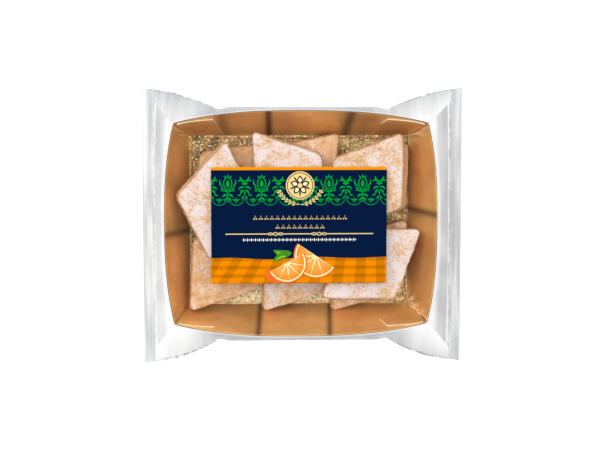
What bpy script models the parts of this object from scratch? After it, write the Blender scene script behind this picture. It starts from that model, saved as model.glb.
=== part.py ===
"""Sealed pack of almond biscuits, lying on its back with its label up.

A tube of clear film round a flared card tray with eight lozenge-shaped biscuits,
drawn flat into a crimped fin at each end, with a paper label on top. Metres, +Z up,
+X along the pack. The origin is under the middle of the pack, on what it lies on.
"""

import math

import bmesh
import bpy
from mathutils import Matrix, Vector

MM = 0.001

# What touches in the real pack keeps this gap here.
CLEARANCE = 0.0003

# Tray's place, and the line of the film round it. The rim bows outwards.
TRAY_CENTRE = Vector((-0.0015, 0.0024, 0.0))
FLOOR_HALF_X = 0.0756
FLOOR_HALF_Y = 0.0588
RIM_CORNER_X = 0.0849
RIM_CORNER_Y = 0.0675
RIM_BOW_X = 0.0066
RIM_BOW_Y = 0.0086
BOW_POWER = 2.6
END_BOW_POWER = 4
RIM_Z = 0.0348

# Film: how far it sinks inside the rim, and how it stands out beside the walls.
FILM_THICKNESS = 0.0004
FILM_SAG = 0.0010
SAG_REACH = 0.018
SIDE_CENTRE_Y = 0.0016
SIDE_HALF_Y = 0.0780
SIDE_Z = 0.0270

# The two layers of film lie this far apart at the pack's edge, so the hollow isn't shut off.
LAYER_GAP = 0.0004

# Over the rim the film's side is full and round, and at the ears it hollows a little.
SIDE_FULLNESS = 1.6
EAR_FULLNESS = 0.9
END_FULLNESS = 0.85

# Ears of slack film between the last straight stretch of the sides and the fins.
SIDE_DROP_X = 0.040
EAR_START_X = 0.045
EAR_WHOLE_X = 0.080
STRAIGHT_X = 0.047
NOTCH_X = 0.057
NOTCH_HALF_Y = 0.0767
EAR_X = 0.0846
EAR_HALF_Y = 0.0886
EAR_Z = 0.0225
EAR_ROUNDING = 0.75

# Crimped fin that closes each end.
FIN_ROOT_X = 0.0991
FIN_END_X = 0.1065
FIN_ROOT_HALF_Y = 0.0912
FIN_END_HALF_Y = 0.0922
FIN_FOLD_HALF_Y = 0.0838
FIN_ROOT_Z = 0.0200
FIN_END_Z = 0.0212
RIB_HEIGHT = 0.0004

# Card tray: how far its inner face stays inside the film's line, and its thickness.
CARD_THICKNESS = 0.0006
FLOOR_INSET = 0.0014
FLOOR_Z = 0.0014
RIM_INSET = 0.0016
RIM_DROP = 0.0008
CORNER_CUT_X = 0.0022
CORNER_CUT_Y = 0.0026
END_WALL_CELLS = 5
LONG_WALL_CELLS = 6

# Each biscuit: middle x, y and height of its underside from the tray's middle (mm), half
# diagonals (mm), turn of its long diagonal (degrees), the side that is raised (degrees), how
# far it is raised (degrees).
BISCUITS = (
    ("biscuit_lean_left", -56.3, 14.7, 18.2, 41.3, 28.6, 82.5, 172.5, 9.0),
    ("biscuit_top_white", -7.4, 29.6, 15.8, 41.0, 28.2, 128.0, 60.0, 3.0),
    ("biscuit_top_tan", -0.2, 30.3, 3.5, 41.3, 28.6, 46.4, 15.0, 2.7),
    ("biscuit_lean_right", 45.3, 26.2, 18.6, 42.2, 29.2, 54.8, 2.0, 7.0),
    ("biscuit_low_left", -50.7, -29.8, 6.2, 41.3, 28.6, 52.4, 232.0, 6.5),
    ("biscuit_low_middle", -1.1, -29.8, 5.1, 41.3, 28.6, 52.5, 233.0, 4.8),
    ("biscuit_over_right", 47.1, -28.2, 16.7, 42.0, 29.2, 34.0, 245.0, 4.0),
    ("biscuit_low_right", 46.8, -30.5, 4.9, 41.3, 28.6, 50.0, 230.0, 4.6),
)
BISCUIT_HEIGHT = 11.0
BISCUIT_CROWN = 11.4
TIP_RADIUS = 3.2
SIDE_CORNER_RADIUS = 7.0
CORNER_CELLS = 4

# A biscuit's side, from its foot up: (how far it is moved in, mm; share of the height).
BISCUIT_SIDE = ((0.7, 0.0), (0.0, 0.12), (0.5, 0.72), (1.4, 0.94), (3.0, 1.0))

# Paper label, just clear of the film.
LABEL_SIZE = Vector((0.1160, 0.0772, 0.0003))
LABEL_CENTRE = Vector((-0.0030, 0.0015))
LABEL_CORNER = 0.0013
LABEL_CORNER_SEGMENTS = 4

# Cells of the film: along its middle, past the rim and over a fin, then across the pack.
CELLS_MIDDLE = 14
CELLS_TAPER = 4
CELLS_FIN = 10
CELLS_ACROSS = 9
CELLS_SIDE = 3

CREASE_ANGLE = math.radians(30.0)

FILM_COLOUR = (0.80, 0.82, 0.84, 1.0)
FILM_ROUGHNESS = 0.15
FILM_ALPHA = 0.25
CARD_COLOUR = (0.66, 0.40, 0.19, 1.0)
CARD_ROUGHNESS = 0.35
CARD_METALLIC = 1.0
BISCUIT_COLOUR = (0.77, 0.54, 0.33, 1.0)
BISCUIT_ROUGHNESS = 0.85
LABEL_COLOUR = (0.002, 0.010, 0.045, 1.0)
LABEL_ROUGHNESS = 0.35


def clear_scene():
    for obj in list(bpy.data.objects):
        bpy.data.objects.remove(obj, do_unlink=True)


def material(name, colour, roughness, metallic=0.0, alpha=1.0):
    made = bpy.data.materials.new(name)
    made.use_nodes = True
    shader = made.node_tree.nodes["Principled BSDF"]
    shader.inputs["Base Color"].default_value = colour
    shader.inputs["Roughness"].default_value = roughness
    shader.inputs["Metallic"].default_value = metallic
    shader.inputs["Alpha"].default_value = alpha
    made.diffuse_color = (*colour[:3], alpha)
    return made


def mix(a, b, share):
    return a + (b - a) * share


def portion(value, start, end):
    """How far value has come from start to end, from 0 to 1."""
    return min(max((value - start) / (end - start), 0.0), 1.0)


def ease(share):
    """Smooth step from 0 to 1."""
    share = portion(share, 0.0, 1.0)
    return share * share * (3.0 - 2.0 * share)


# Film

def rim_half_y(x):
    """Half width of the bowed rim at a distance x from the tray's middle."""
    reach = min(abs(x) / RIM_CORNER_X, 1.0)
    return RIM_CORNER_Y + RIM_BOW_Y * (1.0 - reach**BOW_POWER)


def rim_half_x(y):
    reach = min(abs(y) / RIM_CORNER_Y, 1.0)
    return RIM_CORNER_X + RIM_BOW_X * (1.0 - reach**BOW_POWER)


def outline_half_y(x):
    """Half width of the film in plan, from the middle of the pack to a fin's root."""
    reach = abs(x)
    if reach <= NOTCH_X:
        return mix(SIDE_HALF_Y, NOTCH_HALF_Y, ease(portion(reach, STRAIGHT_X, NOTCH_X)))
    if reach <= EAR_X:
        return mix(NOTCH_HALF_Y, EAR_HALF_Y, portion(reach, NOTCH_X, EAR_X) ** EAR_ROUNDING)
    return mix(EAR_HALF_Y, FIN_ROOT_HALF_Y, portion(reach, EAR_X, FIN_ROOT_X))


def outline_z(x):
    """Height of the film's widest line."""
    reach = abs(x)
    if reach <= EAR_X:
        return mix(SIDE_Z, EAR_Z, ease(portion(reach, SIDE_DROP_X, EAR_X)))
    return mix(EAR_Z, FIN_ROOT_Z, portion(reach, EAR_X, FIN_ROOT_X))


def fin_root(t):
    """Point on the line where the film closes. t is 1 at the corner fold and 2 at the end."""
    side = math.copysign(1.0, t)
    if abs(t) <= 1.0:
        return Vector((FIN_ROOT_X, t * FIN_FOLD_HALF_Y, FIN_ROOT_Z))
    half = mix(FIN_FOLD_HALF_Y, FIN_ROOT_HALF_Y, abs(t) - 1.0)
    return Vector((FIN_ROOT_X, side * half, FIN_ROOT_Z))


def side_outline(x, side):
    """Point on the film's edge in plan. The ears are centred on the fins, the sides on their own."""
    in_ear = ease(portion(abs(x), EAR_START_X, EAR_WHOLE_X))
    centre_y = SIDE_CENTRE_Y * (1.0 - in_ear)
    return Vector((x, centre_y + side * outline_half_y(x), outline_z(x)))


def top_inner(s, t):
    """Point of the upper film over the tray (s up to 1) or between rim and fin (s from 1 to 2)."""
    along = min(abs(s), 1.0)
    sign = math.copysign(1.0, s)
    y = t * rim_half_y(along * RIM_CORNER_X)
    end_x = rim_half_x(min(abs(y), RIM_CORNER_Y))
    x = mix(along * RIM_CORNER_X, along * end_x, along**END_BOW_POWER)
    to_rim = min(end_x - x, rim_half_y(x) - abs(y))
    z = RIM_Z - FILM_SAG * ease(to_rim / SAG_REACH)
    point = TRAY_CENTRE + Vector((sign * x, y, z))
    if abs(s) <= 1.0:
        return point
    share = abs(s) - 1.0
    closing = fin_root(t)
    closing.x *= sign
    blended = point.lerp(closing, share)
    blended.z = mix(point.z, closing.z, share**END_FULLNESS)
    return blended


def bottom_inner(s, t):
    """Point of the lower film under the tray's floor (s up to 1) or rising to the fin."""
    along = min(abs(s), 1.0)
    sign = math.copysign(1.0, s)
    point = TRAY_CENTRE + Vector((sign * along * FLOOR_HALF_X, t * FLOOR_HALF_Y, 0.0))
    if abs(s) <= 1.0:
        return point
    share = abs(s) - 1.0
    closing = fin_root(t)
    closing.x *= sign
    return point.lerp(closing, share)


def film_point(s, t, upper):
    """Point of the film's outer face. s runs along the pack, t across it.

    s is 1 at the tray's end, 2 at the fin's root and 3 at the fin's outer edge.
    t is 1 at the rim or the floor's edge and 2 at the film's edge in plan.
    """
    sign = math.copysign(1.0, s)
    half_edge = FILM_THICKNESS + 0.5 * LAYER_GAP
    if not upper:
        half_edge = -half_edge
    if abs(s) > 2.0:
        share = abs(s) - 2.0
        on_crest = round(share * CELLS_FIN) % 2
        point = fin_root(t)
        point.y *= mix(1.0, FIN_END_HALF_Y / FIN_ROOT_HALF_Y, share)
        point.x = sign * mix(FIN_ROOT_X, FIN_END_X, share)
        point.z = mix(FIN_ROOT_Z, FIN_END_Z, share) + half_edge + on_crest * RIB_HEIGHT
        return point
    inner = top_inner if upper else bottom_inner
    core = inner(s, max(-1.0, min(1.0, t)))
    if abs(s) > 1.0:
        core.z += half_edge * (abs(s) - 1.0)
    if abs(t) <= 1.0:
        return core
    middle_x = TRAY_CENTRE.x * max(0.0, 2.0 - max(abs(s), 1.0))
    if abs(s) <= 1.0:
        edge_x = s * RIM_CORNER_X
    else:
        edge_x = sign * mix(RIM_CORNER_X, FIN_ROOT_X, abs(s) - 1.0)
    edge = side_outline(middle_x + edge_x, math.copysign(1.0, t))
    edge.z += half_edge
    share = abs(t) - 1.0
    point = core.lerp(edge, share)
    if upper:
        in_ear = ease(portion(abs(edge.x), STRAIGHT_X, EAR_X))
        point.z = mix(core.z, edge.z, share ** mix(SIDE_FULLNESS, EAR_FULLNESS, in_ear))
    return point


def steps(parts):
    """Values from -end to end of the last part. parts lists (end, cells), outwards from 0."""
    half = [0.0]
    for end, cells in parts:
        start = half[-1]
        half += [mix(start, end, (cell + 1) / cells) for cell in range(cells)]
    return [-value for value in reversed(half[1:])] + half


def add_sheet(mesh, stations, rows, upper):
    """Adds one side of the film and returns its vertices, station by station."""
    grid = [[mesh.verts.new(film_point(s, t, upper)) for t in rows] for s in stations]
    for i in range(len(stations) - 1):
        for j in range(len(rows) - 1):
            corners = [grid[i][j], grid[i + 1][j], grid[i + 1][j + 1], grid[i][j + 1]]
            mesh.faces.new(corners if upper else corners[::-1])
    return grid


def make_bag():
    """Film tube, its two layers just apart at the mouth of each fin."""
    stations = steps(((1.0, CELLS_MIDDLE), (2.0, CELLS_TAPER), (3.0, CELLS_FIN)))
    rows = steps(((1.0, CELLS_ACROSS), (2.0, CELLS_SIDE)))
    mesh = bmesh.new()
    upper = add_sheet(mesh, stations, rows, True)
    lower = add_sheet(mesh, stations, rows, False)
    for i in range(len(stations) - 1):
        mesh.faces.new((upper[i][0], lower[i][0], lower[i + 1][0], upper[i + 1][0]))
        mesh.faces.new((upper[i][-1], upper[i + 1][-1], lower[i + 1][-1], lower[i][-1]))
    bag = add_object(
        "bag", mesh, material("Clear film", FILM_COLOUR, FILM_ROUGHNESS, alpha=FILM_ALPHA)
    )
    thicken(bag, FILM_THICKNESS, -1.0)


# Card tray

def tray_quarter():
    """(floor point, rim point) along a quarter of the walls, from an end's middle to a side's."""
    floor_x = FLOOR_HALF_X - FLOOR_INSET
    floor_y = FLOOR_HALF_Y - FLOOR_INSET
    top_z = RIM_Z - RIM_DROP
    columns = []
    for k in range(END_WALL_CELLS + 1):
        share = k / END_WALL_CELLS
        y = share * (RIM_CORNER_Y - CORNER_CUT_Y)
        rim = Vector((rim_half_x(y) - RIM_INSET, y, top_z))
        columns.append((Vector((floor_x, share * floor_y, FLOOR_Z)), rim))
    for k in range(LONG_WALL_CELLS, -1, -1):
        share = k / LONG_WALL_CELLS
        x = share * (RIM_CORNER_X - CORNER_CUT_X)
        rim = Vector((x, rim_half_y(x) - RIM_INSET, top_z))
        columns.append((Vector((share * floor_x, floor_y, FLOOR_Z)), rim))
    return columns


def make_tray():
    mesh = bmesh.new()
    middle = mesh.verts.new(TRAY_CENTRE + Vector((0.0, 0.0, FLOOR_Z)))
    quarter = tray_quarter()
    walls = []
    for x_side, y_side in ((1, 1), (-1, 1), (-1, -1), (1, -1)):
        part = quarter if x_side == y_side else quarter[::-1]
        for ends in part[:-1]:
            places = [TRAY_CENTRE + Vector((p.x * x_side, p.y * y_side, p.z)) for p in ends]
            walls.append([mesh.verts.new(place) for place in places])
    for here, there in zip(walls, walls[1:] + walls[:1]):
        mesh.faces.new((here[0], here[1], there[1], there[0]))
        mesh.faces.new((middle, here[0], there[0]))
    bmesh.ops.remove_doubles(mesh, verts=mesh.verts, dist=0.1 * CARD_THICKNESS)
    tray = add_object(
        "tray", mesh, material("Gold card", CARD_COLOUR, CARD_ROUGHNESS, CARD_METALLIC)
    )
    thicken(tray, CARD_THICKNESS, 1.0)


# Biscuits, in millimetres from their own middle

def lozenge(long_half, short_half, inset):
    """Outline of a lozenge with rounded corners, long diagonal along X, moved in by inset."""
    tip_angle = math.atan2(short_half, long_half)
    side_angle = 0.5 * math.pi - tip_angle
    corners = (
        (long_half, TIP_RADIUS, tip_angle),
        (short_half, SIDE_CORNER_RADIUS, side_angle),
        (long_half, TIP_RADIUS, tip_angle),
        (short_half, SIDE_CORNER_RADIUS, side_angle),
    )
    outline = []
    for quarter, (reach, radius, half_angle) in enumerate(corners):
        facing = 0.5 * math.pi * quarter
        centre = Vector((math.cos(facing), math.sin(facing))) * (reach - radius / math.sin(half_angle))
        for k in range(CORNER_CELLS + 1):
            angle = facing + mix(-1.0, 1.0, k / CORNER_CELLS) * (0.5 * math.pi - half_angle)
            outline.append(centre + Vector((math.cos(angle), math.sin(angle))) * (radius - inset))
    return outline


def make_biscuit(row, finish):
    name, x, y, z, long_half, short_half, turn, raised, lift = row
    mesh = bmesh.new()
    rings = []
    for inset, level in BISCUIT_SIDE:
        outline = lozenge(long_half, short_half, inset)
        rings.append([mesh.verts.new((p.x, p.y, level * BISCUIT_HEIGHT)) for p in outline])
    under = mesh.verts.new((0.0, 0.0, 0.0))
    crown = mesh.verts.new((0.0, 0.0, BISCUIT_CROWN))
    for k in range(len(rings[0])):
        mesh.faces.new((under, rings[0][k], rings[0][k - 1]))
        mesh.faces.new((crown, rings[-1][k - 1], rings[-1][k]))
        for low, high in zip(rings, rings[1:]):
            mesh.faces.new((low[k - 1], low[k], high[k], high[k - 1]))
    bmesh.ops.scale(mesh, vec=(MM, MM, MM), verts=mesh.verts)
    biscuit = add_object(name, mesh, finish)
    toward = Vector((math.cos(math.radians(raised)), math.sin(math.radians(raised)), 0.0))
    tilt = Matrix.Rotation(math.radians(lift), 4, toward.cross(Vector((0.0, 0.0, 1.0))))
    spin = Matrix.Rotation(math.radians(turn), 4, "Z")
    biscuit.matrix_world = Matrix.Translation(TRAY_CENTRE + Vector((x, y, z)) * MM) @ tilt @ spin


def make_biscuits():
    finish = material("Almond biscuit", BISCUIT_COLOUR, BISCUIT_ROUGHNESS)
    for row in BISCUITS:
        make_biscuit(row, finish)


# Label

def make_label():
    mesh = bmesh.new()
    bmesh.ops.create_cube(mesh, size=1.0)
    bmesh.ops.scale(mesh, vec=LABEL_SIZE, verts=mesh.verts)
    half_thickness = 0.5 * LABEL_SIZE.z
    upright = []
    for edge in mesh.edges:
        first, second = edge.verts
        if abs(first.co.z - second.co.z) > half_thickness:
            upright.append(edge)
    bmesh.ops.bevel(
        mesh,
        geom=upright,
        offset=LABEL_CORNER,
        segments=LABEL_CORNER_SEGMENTS,
        profile=0.5,
        affect="EDGES",
    )
    film_z = RIM_Z - FILM_SAG
    label = add_object("label", mesh, material("Printed paper", LABEL_COLOUR, LABEL_ROUGHNESS))
    label.location = (LABEL_CENTRE.x, LABEL_CENTRE.y, film_z + CLEARANCE + half_thickness)


def add_object(name, mesh, finish):
    """Object of the mesh, smooth between its creases."""
    data = bpy.data.meshes.new(name)
    bmesh.ops.recalc_face_normals(mesh, faces=mesh.faces)
    mesh.to_mesh(data)
    mesh.free()
    data.materials.append(finish)
    data.shade_smooth()
    data.set_sharp_from_angle(angle=CREASE_ANGLE)
    obj = bpy.data.objects.new(name, data)
    bpy.context.scene.collection.objects.link(obj)
    return obj


def thicken(obj, thickness, side):
    """Gives a surface its thickness. side is 1 for before its faces and -1 for behind them."""
    wall = obj.modifiers.new("Thickness", "SOLIDIFY")
    wall.thickness = thickness
    wall.offset = side
    wall.use_even_offset = True


clear_scene()
make_bag()
make_tray()
make_biscuits()
make_label()
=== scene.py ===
"""Sealed pack of almond biscuits: film, gold card tray, biscuits, printed label and stage.

Laid out as a Blender add-on and run as a script. Metres, +Z up, the pack's length along X.
"""

import math

import bmesh
import bpy
from mathutils import Matrix, Vector, noise


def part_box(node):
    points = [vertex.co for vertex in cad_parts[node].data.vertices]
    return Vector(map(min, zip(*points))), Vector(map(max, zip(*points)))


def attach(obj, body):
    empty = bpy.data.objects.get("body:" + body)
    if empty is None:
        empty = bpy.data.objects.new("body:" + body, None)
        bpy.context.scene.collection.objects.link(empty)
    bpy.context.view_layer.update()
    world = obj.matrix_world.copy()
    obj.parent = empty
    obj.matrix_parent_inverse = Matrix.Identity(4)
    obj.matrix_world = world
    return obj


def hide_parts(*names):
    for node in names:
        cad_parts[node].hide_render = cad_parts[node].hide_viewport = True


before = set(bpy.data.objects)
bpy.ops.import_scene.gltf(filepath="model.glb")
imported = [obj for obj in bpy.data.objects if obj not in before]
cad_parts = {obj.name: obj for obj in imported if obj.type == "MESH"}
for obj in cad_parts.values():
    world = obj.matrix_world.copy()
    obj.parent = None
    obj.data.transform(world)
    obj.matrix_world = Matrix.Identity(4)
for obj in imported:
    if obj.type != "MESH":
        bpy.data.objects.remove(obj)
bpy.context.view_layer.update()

bl_info = {
    "name": "Almond biscuit pack",
    "version": (1, 0, 0),
    "blender": (4, 5, 0),
    "location": "3D View > Sidebar > Biscuit Pack",
    "description": "Builds a sealed pack of almond biscuits around its solids",
    "category": "Add Mesh",
}

MM = 0.001
_, BAG_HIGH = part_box("bag")
LABEL_LOW, LABEL_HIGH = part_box("label")

# The tray's place, and the line of the film round it, as in the solids
TRAY_CENTRE = Vector((-1.5 * MM, 2.4 * MM, 0.0))
FLOOR_HALF_X = 75.6 * MM
FLOOR_HALF_Y = 58.8 * MM
RIM_CORNER_X = 84.9 * MM
RIM_CORNER_Y = 67.5 * MM
RIM_BOW_X = 6.6 * MM
RIM_BOW_Y = 8.6 * MM
BOW_POWER = 2.6
END_BOW_POWER = 4
RIM_Z = BAG_HIGH.z

# Film, the same sizes as in the solids
FILM_SAG = 1.0 * MM
SAG_REACH = 18.0 * MM
SIDE_CENTRE_Y = 1.6 * MM
SIDE_HALF_Y = 78.0 * MM
SIDE_Z = 27.0 * MM
SIDE_FULLNESS = 1.6
EAR_FULLNESS = 0.9
END_FULLNESS = 0.85
SIDE_DROP_X = 40.0 * MM
EAR_START_X = 45.0 * MM
EAR_WHOLE_X = 80.0 * MM
STRAIGHT_X = 47.0 * MM
NOTCH_X = 57.0 * MM
NOTCH_HALF_Y = 76.7 * MM
EAR_X = 84.6 * MM
EAR_HALF_Y = 88.6 * MM
EAR_Z = 22.5 * MM
EAR_ROUNDING = 0.75
FIN_ROOT_X = 99.1 * MM
FIN_END_X = BAG_HIGH.x
FIN_ROOT_HALF_Y = 91.2 * MM
FIN_END_HALF_Y = BAG_HIGH.y
FIN_FOLD_HALF_Y = 83.8 * MM
FIN_ROOT_Z = 20.0 * MM
FIN_END_Z = 21.2 * MM
FILM_LIFT = 0.2 * MM
SEAL_HALF_WIDTH = 6.0 * MM
SEAL_FACES_Z = (-0.04 * MM, -0.16 * MM)

# How milky each ear of the film looks beside the tray and at its outer edge, by (right, upper): partly
# milkier film where it lies double, partly painted shade that differs from side to side
EAR_TONES = {
    (False, True): (0.50, 0.85),
    (True, True): (0.22, 0.70),
    (False, False): (0.14, 0.34),
    (True, False): (0.12, 0.60),
}

# How milky its strips above and below the tray, its ends and its fins look: partly milky film, partly
# painted shade that differs from side to side
STRIP_TONE_UPPER = 0.98
STRIP_TONE_LOWER = 0.86
END_TONE = 0.74
END_TONE_LOWER_LEFT = 0.48
FIN_TONE_LEFT = 0.34
FIN_TONE_RIGHT = 0.42

# Card tray, as in the solids: how far its inner face stays inside the film's line
CARD_THICKNESS = 0.6 * MM
FLOOR_INSET = 1.4 * MM
RIM_INSET = 1.6 * MM
RIM_DROP = 0.8 * MM
FLOOR_Z = 1.4 * MM
CORNER_CUT_X = 2.2 * MM
CORNER_CUT_Y = 2.6 * MM
WALL_ROWS = 30

# The floor's embossed pips. Real ones are finer and don't show, so they are drawn 1 mm wide.
PIP_SIZE = 1.0 * MM

# How crumpled the foil is beside each corner, and how strong the painted glint on its creases, by the
# sides of X and Y
CORNER_CRUMPLING_AND_GLINT = ((1, 1, 1.7), (-1, 1, 0.8), (-1, -1, 0.4), (1, -1, 2.4))

# Corner tabs: height of their top line at its far end and where their bare board starts, both
# as shares, and how far their cut end slants at the left and right ends of the tray
TAB_TOP_LINE = 0.865
TAB_BOARD_FROM = 0.72
TAB_SLANT_LEFT = 4.5 * MM
TAB_SLANT_RIGHT = 9.0 * MM

# Label: its middle in metres, and the rest in millimetres from there
LABEL_CENTRE = (LABEL_LOW + LABEL_HIGH) / 2.0
LABEL_HALF_X = (LABEL_HIGH.x - LABEL_LOW.x) / 2.0 / MM
LABEL_HALF_Y = (LABEL_HIGH.y - LABEL_LOW.y) / 2.0 / MM
LABEL_CORNER = 1.3
INK_THICKNESS = 0.015
INK_STEP = 0.03

# Each biscuit, as in the solids: middle x, y and height of its underside from the tray's middle
# (mm), half diagonals (mm), turn of its long diagonal (degrees), the side that is raised
# (degrees), how far it is raised (degrees). Its sugar, from 0 to 1, comes last. The lower left
# one lies about 0.6 mm off its solid, to stay clear of the corner tab.
BISCUITS = (
    ("biscuit_lean_left", -56.3, 14.7, 18.2, 41.3, 28.6, 82.5, 172.5, 9.0, 0.74),
    ("biscuit_top_white", -7.4, 29.6, 15.8, 41.0, 28.2, 128.0, 60.0, 3.0, 0.64),
    ("biscuit_top_tan", -0.2, 30.3, 3.5, 41.3, 28.6, 46.4, 15.0, 2.7, 0.26),
    ("biscuit_lean_right", 45.3, 26.2, 18.6, 42.2, 29.2, 54.8, 2.0, 7.0, 0.50),
    ("biscuit_low_left", -50.4, -29.25, 6.15, 41.3, 28.6, 52.4, 232.0, 6.9, 0.28),
    ("biscuit_low_middle", -1.1, -29.8, 5.1, 41.3, 28.6, 52.5, 233.0, 4.8, 0.54),
    ("biscuit_over_right", 47.1, -28.2, 16.7, 42.0, 29.2, 34.0, 245.0, 4.0, 0.72),
    ("biscuit_low_right", 46.8, -30.5, 4.9, 41.3, 28.6, 50.0, 230.0, 4.6, 0.35),
)

# Two smaller biscuits lie at the bottom, under the ones at the upper left and upper right. Only
# a strip of each shows.
HIDDEN_BISCUITS = (
    ("biscuit_under_left", -48.3, 28.2, 2.0, 36.0, 26.5, 43.5, 0.0, 0.0, 0.10),
    ("biscuit_under_right", 51.5, 24.0, 3.6, 38.0, 26.5, 52.5, 0.0, 3.0, 0.12),
)
BISCUIT_HEIGHT = 11.0
TIP_RADIUS = 3.2
SIDE_CORNER_RADIUS = 7.0
BISCUIT_TOP_RINGS = 30
BISCUIT_DOME = 0.036

# A biscuit's side, from its foot up: (how far it is moved in, mm; share of the height)
BISCUIT_SIDE = (
    (0.7, 0.0), (0.2, 0.05), (0.0, 0.12), (0.0, 0.21), (0.05, 0.30), (0.1, 0.40), (0.15, 0.50),
    (0.2, 0.60), (0.3, 0.70), (0.4, 0.79), (0.5, 0.87), (0.7, 0.93), (1.0, 0.97), (1.6, 0.99),
    (2.6, 1.0),
)

# Lumps of a biscuit's crust: their size, their height, and what is added to it on the sides
# (mm). Then the size of its pits (mm), from which value of the noise on they are sunk, and how
# far its sides shrink in baking (mm).
CRUST_LUMPS = ((12.0, 0.45, 0.0), (4.0, 0.30, 0.20), (1.9, 0.20, 0.15))
CRUST_PIT_SIZE = 2.6
CRUST_PIT_FROM = 0.42
SIDE_SHRINK = 0.35
GRAIN_SEED = 7

# View: where it is centred on the rim, its width in pixels, and a pixel's size at the rim
VIEW_CENTRE = (-2.45 * MM, 1.8 * MM)
VIEW_PIXELS = 600
PIXEL_SIZE = 0.66 * MM

# Cells of the tray's mesh along half of an end wall and half of a long wall
END_WALL_CELLS = 64
LONG_WALL_CELLS = 90

# Painted shade on the tray's walls, in soft dark bands where shadows and dark reflections fall: wall,
# place along it at the floor and at the rim (mm), half width (mm), depth of the tone
WALL_SHADE_BANDS = (
    ("top", -20.2, -21.8, 2.3, 0.95),
    ("top", 30.8, 33.4, 3.6, 0.75),
    ("top", 43.0, 43.0, 7.0, 0.20),
    ("top", -50.0, -53.0, 4.5, 0.50),
    ("bottom", -26.3, -28.7, 1.9, 0.80),
    ("bottom", 21.0, 18.9, 1.9, 0.80),
    ("left", -7.0, -7.2, 2.2, 0.65),
    ("left", 18.0, 30.0, 9.0, 0.22),
    ("right", 7.7, 5.5, 2.2, 0.75),
    ("right", -28.0, -24.0, 20.0, 0.22),
)


# Settings

def length_setting(name, description, low, high, default):
    """Setting for a length, given in millimetres."""
    return bpy.props.FloatProperty(
        name=name, description=description, subtype="DISTANCE",
        min=low * MM, max=high * MM, default=default * MM,
    )


def share_setting(name, description, default):
    return bpy.props.FloatProperty(
        name=name, description=description, subtype="FACTOR", min=0.0, max=1.0, default=default,
    )


def lean_setting(name, description, default):
    """Setting for a slight lean, given in degrees."""
    return bpy.props.FloatProperty(
        name=name, description=description, subtype="ANGLE",
        min=-0.5, max=0.5, default=math.radians(default),
    )


def colour_setting(name, description, default):
    return bpy.props.FloatVectorProperty(
        name=name, description=description, subtype="COLOR",
        size=3, min=0.0, max=1.0, default=default,
    )


def group_setting(kind, name, description):
    return bpy.props.PointerProperty(type=kind, name=name, description=description)


class FilmSettings(bpy.types.PropertyGroup):
    colour: colour_setting("Film colour", "Colour of creased film", (0.33, 0.34, 0.36))
    window_alpha: share_setting("Window veil", "How much the film over the tray hides", 0.012)
    margin_alpha: share_setting("Margin veil", "How much the film beside the tray hides", 0.85)
    fold_height: length_setting("Fold height", "Height of the soft folds", 0.0, 2.0, 0.35)
    rib_pitch: length_setting("Rib pitch", "Distance between the ribs of the fins", 0.5, 4.0, 1.5)
    rib_height: length_setting("Rib height", "Height of the ribs of the fins", 0.0, 1.0, 0.16)


class TraySettings(bpy.types.PropertyGroup):
    foil: colour_setting("Foil", "Colour of the gold foil", (0.92, 0.55, 0.20))
    floor_foil: colour_setting("Floor foil", "Colour of the embossed foil", (0.60, 0.42, 0.20))
    tab_length: length_setting("Tab length", "Length of the glued corner tabs", 5.0, 40.0, 23.5)
    tab_thickness: length_setting("Tab thickness", "Thickness of a tab with its glue", 0.3, 1.5, 0.7)


class BiscuitSettings(bpy.types.PropertyGroup):
    height: length_setting("Height", "Thickness of a biscuit", 6.0, 18.0, BISCUIT_HEIGHT)
    grain_size: length_setting("Grain size", "Size of the largest sugar grains", 0.1, 1.5, 0.45)
    grain_density: bpy.props.FloatProperty(
        name="Grain density", description="Loose sugar grains on a square metre of crust",
        min=0.0, max=1.0e6, default=2.6e5,
    )


class LabelSettings(bpy.types.PropertyGroup):
    ornament_period: length_setting("Ornament period", "One repeat of the band", 10.0, 40.0, 22.24)
    check_width: length_setting("Check width", "Distance between the cloth's stripes", 4.0, 30.0, 12.0)


class StageSettings(bpy.types.PropertyGroup):
    camera_distance: length_setting("Camera distance", "From the tray's rim", 300.0, 5000.0, 1000.0)
    lean_up: lean_setting("Lean towards the top", "How far the camera stands towards +Y", 5.2)
    lean_left: lean_setting("Lean towards the left", "How far the camera stands towards -X", 2.8)


class PackSettings(bpy.types.PropertyGroup):
    film: group_setting(FilmSettings, "Film", "Clear film")
    tray: group_setting(TraySettings, "Tray", "Card tray")
    biscuits: group_setting(BiscuitSettings, "Biscuits", "Almond biscuits")
    label: group_setting(LabelSettings, "Label", "Paper label")
    stage: group_setting(StageSettings, "Stage", "Camera and light")


# Small helpers

def mix(a, b, share):
    return a + (b - a) * share


def portion(value, start, end):
    """How far value has come from start to end, from 0 to 1."""
    return min(max((value - start) / (end - start), 0.0), 1.0)


def ease(share):
    share = portion(share, 0.0, 1.0)
    return share * share * (3.0 - 2.0 * share)


def hex_colour(text):
    """Linear RGBA of an sRGB hex value."""
    parts = [int(text[k : k + 2], 16) / 255.0 for k in (1, 3, 5)]
    linear = [c / 12.92 if c <= 0.04045 else ((c + 0.055) / 1.055) ** 2.4 for c in parts]
    return (*linear, 1.0)


def wave(x, y, z, size):
    """Smooth noise from -1 to 1 whose lumps are about size across. All in metres."""
    return noise.noise(Vector((x, y, z)) / size)


def steps(parts):
    """Values from -end to end of the last part. parts lists (end, cells), outwards from 0."""
    half = [0.0]
    for end, cells in parts:
        start = half[-1]
        half += [mix(start, end, (cell + 1) / cells) for cell in range(cells)]
    return [-value for value in reversed(half[1:])] + half


def join_grid(mesh, grid, flip=False, material=0):
    """Faces between neighbouring lines of vertices."""
    for here, there in zip(grid, grid[1:]):
        for j in range(len(here) - 1):
            corners = (here[j], there[j], there[j + 1], here[j + 1])
            mesh.faces.new(corners[::-1] if flip else corners).material_index = material


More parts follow.
